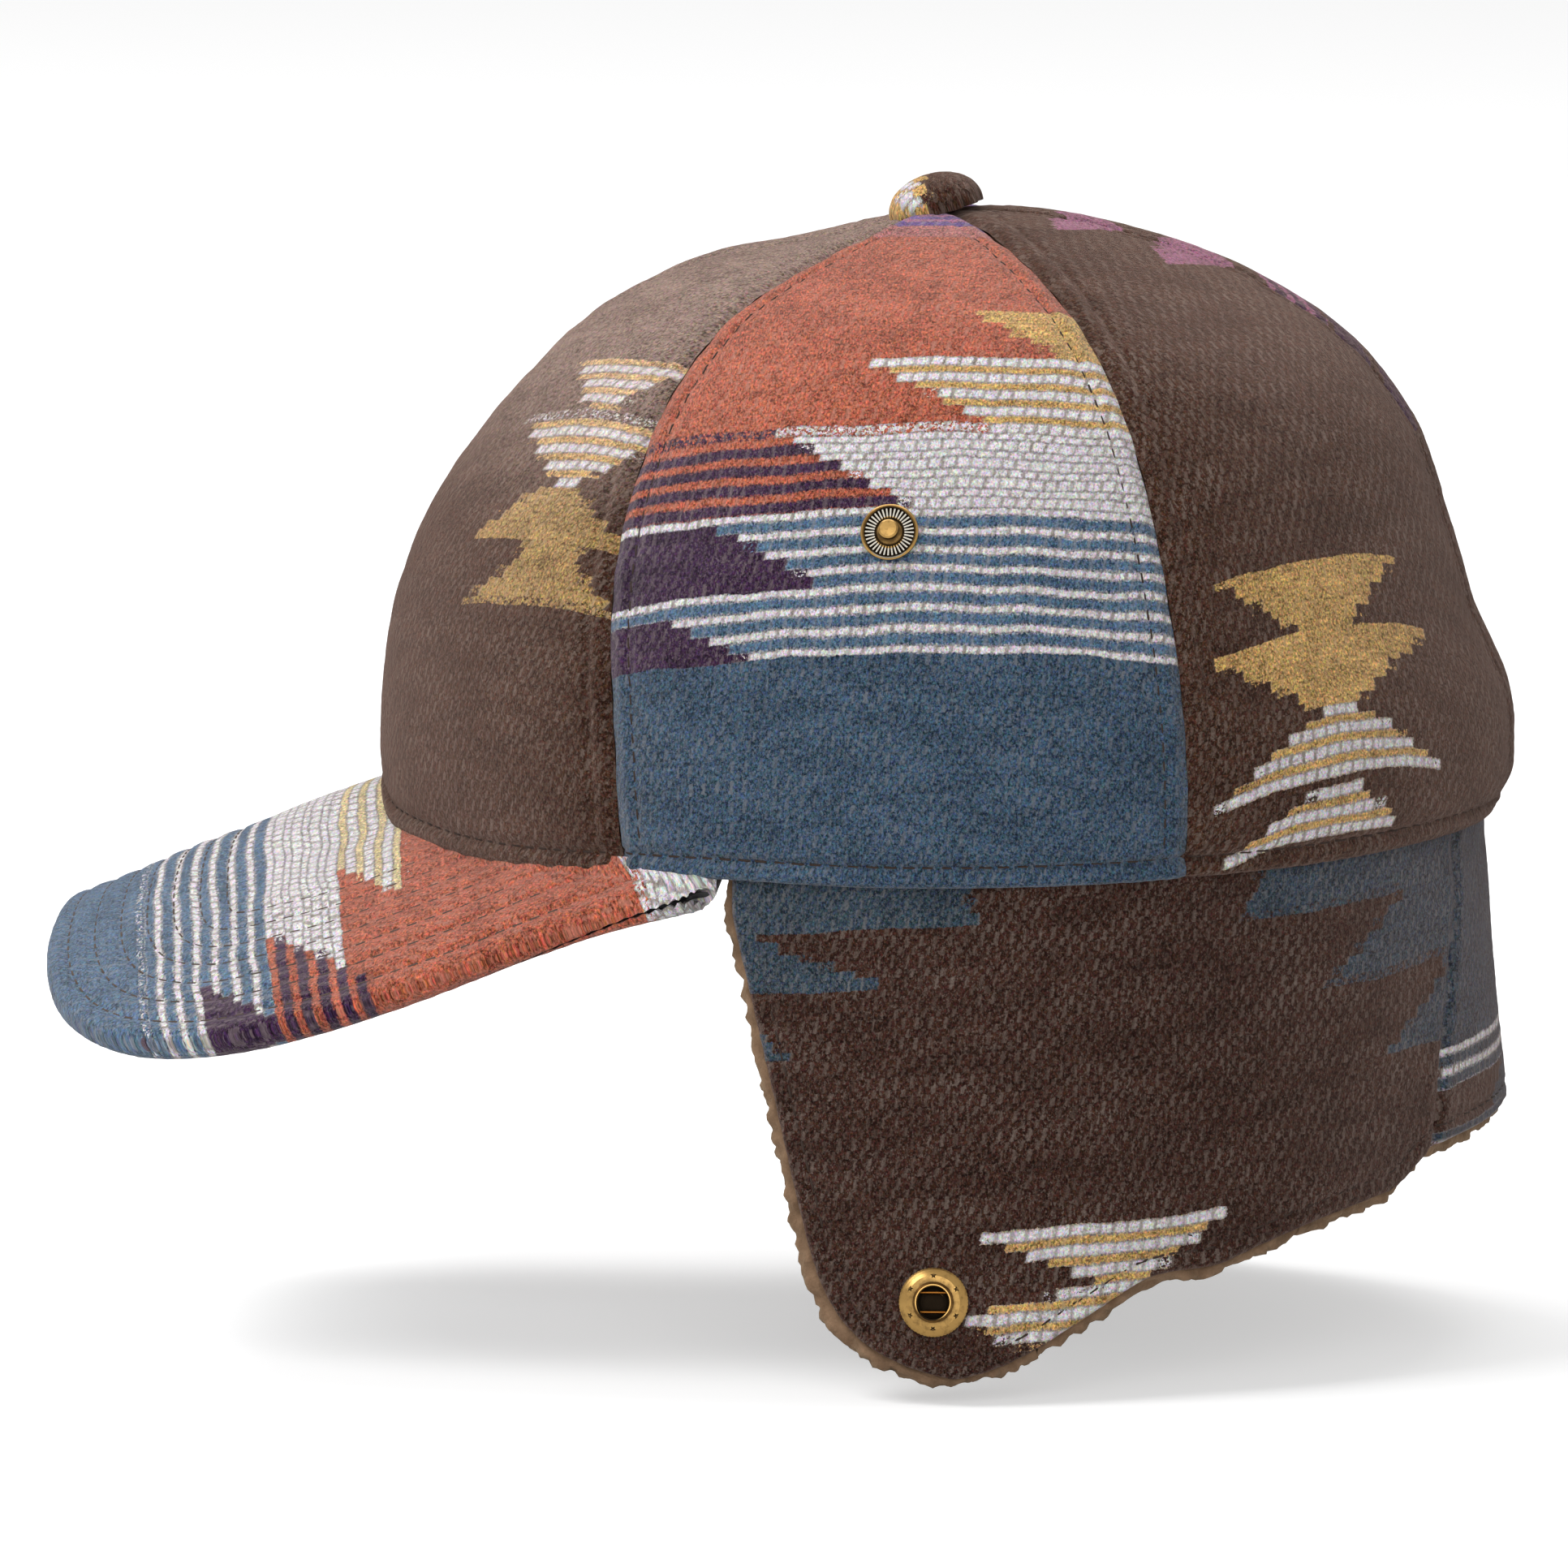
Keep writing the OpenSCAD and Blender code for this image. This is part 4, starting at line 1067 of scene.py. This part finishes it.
def visor_middle(angle, q):
    root, edge = visor_ends(angle)
    p = root + (edge - root) * q[..., None]
    p[..., 2] += VISOR_BULGE * 4 * q * (1 - q)
    return p


def grid_normal(p):
    return unit(np.cross(np.gradient(p, axis=0), np.gradient(p, axis=1)))


def visor_cloth(p):
    """Places on the visor's cloth: across from the middle, and back from the tip."""
    x = np.linspace(0, 84, 300)
    drop = VISOR_DROP * (x / VISOR_HALF_W) ** 2
    length = np.concatenate([[0], np.cumsum(np.hypot(np.diff(x), np.diff(drop)))])
    across = np.interp(np.abs(p[..., 0]), x, length) * np.sign(p[..., 0])
    slope = math.radians(VISOR_SLOPE)
    ahead = -p[..., 1] * math.cos(slope) - p[..., 2] * math.sin(slope)
    tip_y, tip_z = -(HALF_L + VISOR_REACH), RIM_FRONT - VISOR_HALF_T - VISOR_REACH * math.tan(slope)
    tip = -tip_y * math.cos(slope) - tip_z * math.sin(slope)
    return np.stack([across, tip - ahead], -1)


# Columns of the visor's grid, spread evenly between its root and its edge
fine = np.linspace(-1, 1, 4001) * VISOR_END
fine_root, fine_edge = visor_ends(fine)
laid = run_of(fine_edge) + run_of(fine_root)
VISOR_ROWS, VISOR_COLS = 72, 281
visor_angles = np.interp(np.linspace(0, laid[-1], VISOR_COLS), laid, fine)
share_out = np.linspace(0, 1, VISOR_ROWS)
share_out = 1 - (1 - share_out) ** 1.35
visor_q = np.repeat(share_out[:, None], VISOR_COLS, axis=1)
visor_a = np.repeat(visor_angles[None, :], VISOR_ROWS, axis=0)
visor_mid = visor_middle(visor_a, visor_q)
visor_up = grid_normal(visor_mid)
visor_up *= np.sign(visor_up[..., 2:3])
# Its narrow ends stand nearly upright, where up is taken as up and outwards
reach = np.linalg.norm(visor_mid[-1] - visor_mid[0], axis=1)
narrow = (1 - ease(reach, 8, 20))[None, :, None]
upright = unit(np.sign(visor_mid) * (0.6, 0, 0) + (0, 0, 0.8))
visor_up = unit(visor_up * (1 - narrow) + upright * narrow)
along = run_of(fine_edge)
rim_of_visor = read_off(np.linspace(0, along[-1], 900), along, fine_edge)
visor_edge_gap = distance_to(visor_mid, rim_of_visor)
# Its two ends are sewn shut as well, from the edge to the rim
visor_end_gap = np.minimum(distance_to(visor_mid, visor_mid[:, 0]),
                           distance_to(visor_mid, visor_mid[:, -1]))
visor_sewn_gap = np.minimum(visor_edge_gap, visor_end_gap)
VISOR_STITCHES = 5.2 + 5.1 * np.arange(7)


def visor_sheet(name, node, upper):
    side = 1.0 if upper else -1.0
    near = 1 - np.clip(visor_sewn_gap / VISOR_HALF_T, 0, 1)
    half = VISOR_HALF_T * np.sqrt(np.clip(1 - near ** 2, 0, 1))
    # Under the rim it keeps its full thickness, up to the last few millimetres at its ends
    tucked = np.clip(1 - np.linalg.norm(visor_mid - visor_mid[:1], axis=2) / 7, 0, 1) ** 0.5
    ending = np.clip((np.abs(visor_a) - VISOR_END + 2.2) / 2.2, 0, 1)
    closing = np.sqrt(np.clip(1 - (1 - np.clip(visor_sewn_gap / 1.6, 0, 1)) ** 2, 0, 1))
    if upper:
        half = np.maximum(half, VISOR_HALF_T * tucked * closing * np.sqrt(np.clip(1 - ending ** 2, 0, 1)))
    # The upper cloth is folded down over the edge of the under cloth, which ends a little inside it
    lap = near ** 8 * (1 - 0.8 * narrow[..., 0])
    half = half - (0.5 if upper else 0.2) * lap
    lift = np.zeros_like(visor_q)
    for line in VISOR_STITCHES:
        lift -= 0.5 * np.exp(-((visor_edge_gap - line) / 0.9) ** 2)
    lift += 0.25 * wave_sum((visor_mid[..., 0], 31, 0.3), (visor_mid[..., 1], 23, 1.1))
    lift *= np.clip(visor_edge_gap / 4, 0, 1)
    points = visor_mid + visor_up * (side * (half + lift))[..., None]
    if not upper:
        points -= unit(visor_mid[-1:] - visor_mid[:1]) * (0.25 * lap)[..., None]
    cloth = visor_cloth(points)
    # The allowance at its root turns up behind the rim
    turn = visor_angles * VISOR_ROOT_END / VISOR_END
    deep = crown_point(turn, 0 * turn) - (1.3 if upper else 4.4) * crown_normal(turn, 0 * turn)
    deep[:, 2] = rim_z(turn) - rim_dip(turn) + (2.6 if upper else -0.6)
    whole = np.concatenate([deep[None], points])
    cloth = np.concatenate([cloth[:1] + (0, 4.0), cloth])
    piece = cloth_piece(name, whole[::-1] if upper else whole, cloth[::-1] if upper else cloth, wool_visor)
    roughen(piece, "CLOUDS", 1.6, 0.25)
    stands_for(piece, node)
    return points


board_q = visor_q[::3, 8:-8:3] * (1 - 2.2 / reach[8:-8:3])
board_a = visor_a[::3, 8:-8:3]
board_mid = visor_middle(board_a, board_q)
board_up = grid_normal(board_mid)
board_up *= np.sign(board_up[..., 2:3])
# A millimetre thick each way, and thinner along its two long edges
board_row = np.arange(len(board_q))
board_gap = np.minimum(np.minimum(board_row, board_row[::-1])[:, None] + 0 * board_q, 1.0)
board_half = np.sqrt(1 - (1 - np.clip(board_gap * 0.8 + 0.2, 0, 1)) ** 2)[..., None]
board = cloth_piece("board_visor", board_mid + board_up * board_half, board_mid[..., :2],
                    board_plastic, inner=board_mid - board_up * board_half)
stands_for(board, "visor_board")
visor_top = visor_sheet("wool_visor_top", "visor_top_cloth", True)
visor_sheet("wool_visor_under", "visor_under_cloth", False)

# ---- Stitching: one stitch, copied along every seam ----
deselect()
bpy.ops.mesh.primitive_cylinder_add(vertices=6, radius=0.24 * MM, depth=1.7 * MM,
                                    rotation=(0, math.pi / 2, 0))
stitch = bpy.context.object
bpy.ops.object.transform_apply(location=False, rotation=True, scale=True)
mode("EDIT")
bpy.ops.mesh.select_mode(type="FACE")
bpy.ops.mesh.select_all(action="DESELECT")
mode("OBJECT")
for polygon in stitch.data.polygons:
    polygon.select = abs(polygon.normal.x) > 0.9
mode("EDIT")
bpy.ops.mesh.extrude_region_move()
mode("OBJECT")
for vertex in stitch.data.vertices:
    if vertex.select:
        vertex.co.x += math.copysign(0.5 * MM, vertex.co.x)
        vertex.co.y *= 0.6
        vertex.co.z = vertex.co.z * 0.6 - 0.28 * MM
stitch_points = np.array([v.co for v in stitch.data.vertices]) / MM
stitch_faces = [list(p.vertices) for p in stitch.data.polygons]
bpy.data.objects.remove(stitch)


def sew(name, path, up, body_pair=None, sink=0.12, mirrored=False, material=thread):
    """A row of stitches along a path in mm; up is the cloth's outward direction along it."""
    length = run_of(path)
    count = int(length[-1] / STITCH)
    at = (np.arange(count) + 0.5) * STITCH
    here = read_off(at, length, path)
    way = unit(read_off(at + 0.6, length, path) - read_off(at - 0.6, length, path))
    raised = unit(read_off(at, length, up))
    across = unit(np.cross(raised, way))
    raised = np.cross(way, across)
    n = len(stitch_points)
    points = (here[:, None] + stitch_points[None, :, 0:1] * way[:, None]
              + stitch_points[None, :, 1:2] * across[:, None]
              + (stitch_points[None, :, 2:3] - sink) * raised[:, None]).reshape(-1, 3)
    if mirrored:
        points = points * (-1, 1, 1)
    faces = [[i + n * k for i in (f[::-1] if mirrored else f)] for k in range(count) for f in stitch_faces]
    mesh = bpy.data.meshes.new(name)
    mesh.from_pydata(points * MM, [], faces)
    piece = bpy.data.objects.new(name, mesh)
    bpy.context.scene.collection.objects.link(piece)
    mesh.materials.append(material)
    active(piece)
    bpy.ops.object.shade_smooth()
    if body_pair:
        hinge(piece, *body_pair)
    else:
        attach(piece, "crown")


for side in ("left", "right"):
    mirrored = side == "right"
    for panel, (low_row, from_start, from_end) in panel_rows.items():
        sew(f"stitches_rim_{panel}_{side}", *low_row, mirrored=mirrored)
        for label, line in (("first", from_start), ("last", from_end)):
            if line is not None:
                sew(f"stitches_{panel}_{label}_seam_{side}", *line, mirrored=mirrored)

for index, line in enumerate(VISOR_STITCHES):
    crossing = []
    for c, gaps in enumerate(visor_edge_gap.T):
        if gaps.max() > line + 0.5:
            rows = np.arange(len(gaps))
            row = np.interp(-line, -gaps, rows)
            crossing.append(read_off(row, rows, np.concatenate([visor_top[:, c], visor_up[:, c]], -1)))
    crossing = np.array(crossing)
    sew(f"stitches_visor_{index}", crossing[:, :3], crossing[:, 3:], material=visor_thread)

for side in ("left", "right"):
    for part, start, end in FLAP_PARTS:
        line, up = hem_rows[f"{part}_{side}"]
        sew(f"stitches_flap_{part}_{side}", line, up, (f"{part}_flap_{side}", start, end),
            sink=0.15, mirrored=side == "right")
sew("stitches_flap_neck", *hem_rows["neck"], ("neck_flap", *NECK), sink=0.15)

# ---- Covered button ----
BUTTON_R, BUTTON_TILT = 8.5, math.radians(16)
deselect()
bpy.ops.mesh.primitive_uv_sphere_add(segments=72, ring_count=36, radius=BUTTON_R * MM)
button = bpy.context.object
button.name = "wool_top_button"
bpy.ops.transform.resize(value=(1, 1, 0.65))
bpy.ops.object.transform_apply(location=False, rotation=False, scale=True)
mode("EDIT")
bpy.ops.mesh.select_all(action="SELECT")
bpy.ops.mesh.bisect(plane_co=(0, 0, -1.2 * MM), plane_no=(0, 0, 1), clear_inner=True, use_fill=True)
bpy.ops.mesh.select_mode(type="FACE")
bpy.ops.mesh.select_all(action="DESELECT")
mode("OBJECT")
for polygon in button.data.polygons:
    polygon.select = polygon.normal.z < -0.9 and polygon.center.z < -1.1 * MM
mode("EDIT")
bpy.ops.mesh.inset(thickness=0.9 * MM, depth=-0.3 * MM)
bpy.ops.mesh.inset(thickness=4 * MM, depth=0)
mode("OBJECT")
# The cloth is gathered in under the edge, so the lower part has small puckers
for vertex in button.data.vertices:
    turn = math.atan2(vertex.co.y, vertex.co.x)
    low_part = max(0, 1 - (vertex.co.z / MM + 1.2) / 4.5)
    vertex.co.xy *= 1 + 0.03 * low_part * math.sin(13 * turn) + 0.015 * low_part * math.sin(21 * turn + 1)
    vertex.co.z += 0.35 * MM * math.sin(vertex.co.x / (5 * MM) + 1) * (1 - low_part)
places = button.data.uv_layers.new(name="cloth")
for loop in button.data.loops:
    spot = button.data.vertices[loop.vertex_index].co
    places.data[loop.index].uv = (spot.y, spot.x * 0.9 - 0.3 * spot.z)
lifted = Matrix.Translation((0, APEX_Y * MM, CROWN_H * MM + 0.3 * MM))
button.data.transform(lifted @ Matrix.Rotation(BUTTON_TILT, 4, "X"))
button.data.materials.clear()
button.data.materials.append(wool_button)
roughen(button, "CLOUDS", 1.8, 0.2)
active(button)
bpy.ops.object.shade_smooth_by_angle(angle=math.radians(50))
stands_for(button, "top_button_cover")

# ---- Lining, sweatband and the tape over the seams inside ----


def inside_band(name, node, depth, low_mm, high_share, rows, cols, thickness, material, shape):
    """A strip right round the inside of the crown, from a height above the rim to a share of the way up."""
    a = np.linspace(0, 360, cols)
    near = near_side(a)
    v = np.linspace(0, 1, rows)[:, None]
    base = share_up(near, low_mm)[None, :]
    top = np.full((1, cols), high_share) if np.isscalar(high_share) else high_share[None, :]
    share = base + (top - base) * v
    angle = np.tile(near, (rows, 1))
    point = crown_point(angle, share)
    normal = crown_normal(angle, share)
    turn = np.where(a > 180, -1.0, 1.0)[None, :, None] ** np.array([1, 0, 0])
    point, normal = point * turn, normal * turn
    around, up, area = run_over(point)
    lift = shape(a[None, :] + 0 * share, up, around)
    outer = point - normal * (depth - lift)[..., None]
    inner = outer - normal * thickness
    cloth = np.stack([around[0][None, :] + 0 * up, up], -1)
    # The strip is one loop: its last column meets its first
    outer[:, -1], inner[:, -1] = outer[:, 0], inner[:, 0]
    piece = cloth_piece(name, outer[:, ::-1], cloth[:, ::-1], material, inner=inner[:, ::-1])
    seal(piece)
    stands_for(piece, node)


def share_up(angle, height):
    """Share of the way up at which the crown is a height above its rim."""
    s = np.linspace(0, 0.6, 200)
    out = []
    for one in np.atleast_1d(angle):
        z = crown_point(np.full(200, one), s)[:, 2]
        out.append(np.interp(z[0] + height, z, s))
    return np.array(out)


def seal(piece):
    """Takes out the doubled wall where a strip's two ends meet."""
    shape = bmesh.new()
    shape.from_mesh(piece.data)
    bmesh.ops.remove_doubles(shape, verts=shape.verts, dist=0.02 * MM)
    shared = [e for e in shape.edges if len(e.link_faces) > 2]
    walls = {f for e in shared for f in e.link_faces
             if all(len(edge.link_faces) >= 2 for edge in f.edges)
             and abs(f.normal.x) > 0.95 and abs(f.calc_center_median().x) < 0.3 * MM}
    bmesh.ops.delete(shape, geom=list(walls), context="FACES")
    bmesh.ops.remove_doubles(shape, verts=shape.verts, dist=0.02 * MM)
    shape.to_mesh(piece.data)
    shape.free()


def lining_shape(angle, up, around):
    seams = [0, 60, 120, 180, 240, 300, 360]
    nearest = np.min([np.abs(angle - s) for s in seams], axis=0) * 1.4
    return (-1.0 * np.exp(-(nearest / 2.5) ** 2) + 0.3 * np.exp(-((nearest - 7) / 2) ** 2)
            + 0.25 * wave_sum((around, 37, 0.2), (up, 29, 1.0)) - 0.25)


def band_shape(_, up, around):
    beat = 0.6 + 0.4 * np.cos(around * 2 * np.pi / 3)
    low_row = -0.25 * np.exp(-((up - 3) / 0.8) ** 2) * beat
    high_row = -0.25 * np.exp(-((up - up.max() + 3) / 0.8) ** 2) * beat
    return low_row + high_row + 0.2 * wave_sum((around, 41, 0.2), (around, 27, 1.0)) - 0.2


inside_band("lining_crown", "crown_lining", 2.7, 10.0, 0.985, 60, 241, 1.3, lining_twill,
            lining_shape)
band_top = share_up(near_side(np.linspace(0, 360, 361)), 32.0)
inside_band("sweatband_strip", "sweatband", 5.1, 0.0, band_top, 26, 361, 1.1, band_twill,
            band_shape)

# ---- Metal parts keep their own solids ----
FINISHES = {"snap_stud": brass_stud, "snap_stud_rivet": brass, "snap_socket": brass_socket,
            "snap_socket_spring": spring_steel, "snap_cap": brass_cap}
FINISHES = {f"{name}_{side}": metal for name, metal in FINISHES.items() for side in ("left", "right")}
FINISHES |= {"top_button_shell": steel, "top_button_prong": steel}
for name, metal in FINISHES.items():
    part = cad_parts[name]
    part.data.materials.clear()
    part.data.materials.append(metal)

# ---- Floor, light and camera ----
VIEW_TURN, VIEW_RISE = math.radians(96.5), math.radians(8.0)
back = Vector((math.sin(VIEW_TURN) * math.cos(VIEW_RISE), -math.cos(VIEW_TURN) * math.cos(VIEW_RISE),
               math.sin(VIEW_RISE)))
right = Vector((math.cos(VIEW_TURN), math.sin(VIEW_TURN), 0))
over = back.cross(right)
FRAME_W = 0.2833
lens = bpy.data.cameras.new("camera")
lens.lens = 500
lens.sensor_width = 36
camera = bpy.data.objects.new("camera", lens)
bpy.context.scene.collection.objects.link(camera)
camera.location = right * -0.0296 + over * 0.0028 + back * (FRAME_W * lens.lens / lens.sensor_width)
camera.rotation_mode = "QUATERNION"
camera.rotation_quaternion = (-back).to_track_quat("-Z", "Y")
lens.clip_end = 60
bpy.context.scene.camera = camera

floor_level = cad_low.z - 0.6 * MM
deselect()
bpy.ops.mesh.primitive_plane_add(size=30, location=(0, 0, floor_level))
floor = bpy.context.object
floor.name = "floor"
floor_paint, tree = new_material("matt white floor")
ray = add(tree, "LightPath", {})
seen = maths(tree, "MAXIMUM", ray, ray.node.outputs["Is Glossy Ray"])
seen = maths(tree, "MAXIMUM", seen, ray.node.outputs["Is Transmission Ray"])
plain = add(tree, "BsdfDiffuse", {"Color": linear("#cfcfcf")})
glow = add(tree, "Emission", {"Color": (1, 1, 1, 1), "Strength": 0.5})
none = add(tree, "Emission", {"Color": (0, 0, 0, 1), "Strength": 0.0})
lit = add(tree, "MixShader", {0: seen, 1: none, 2: glow})
finish(tree, add(tree, "AddShader", {0: plain, 1: lit}))
floor.data.materials.append(floor_paint)

world = bpy.data.worlds.new("studio")
bpy.context.scene.world = world
world.use_nodes = True
tree = world.node_tree
tree.nodes.clear()
path = add(tree, "LightPath", {})
plainly = maths(tree, "MAXIMUM", path, path.node.outputs["Is Glossy Ray"])
plainly = maths(tree, "MAXIMUM", plainly, path.node.outputs["Is Transmission Ray"])
sky = add(tree, "Background", {"Color": (1, 1, 1, 1), "Strength": 0.33})
white = add(tree, "Background", {"Color": (1, 1, 1, 1), "Strength": 1.0})
add(tree, "OutputWorld", {"Surface": add(tree, "MixShader", {0: plainly, 1: sky, 2: white})})


def soft_light(name, place, size, power):
    lamp = bpy.data.lights.new(name, "AREA")
    lamp.size = size
    lamp.energy = power
    holder = bpy.data.objects.new(name, lamp)
    bpy.context.scene.collection.objects.link(holder)
    holder.location = place
    holder.rotation_euler = (-Vector(place)).to_track_quat("-Z", "Y").to_euler()


soft_light("key", (0.8, -1.4, 1.9), 1.1, 34)
soft_light("side", (2.0, 0.2, 0.7), 1.6, 21)
soft_light("top", (-0.6, 0.0, 2.0), 1.4, 17)
soft_light("front", (-0.8, -1.1, 2.2), 1.0, 25)
bpy.context.scene.view_settings.view_transform = "Standard"
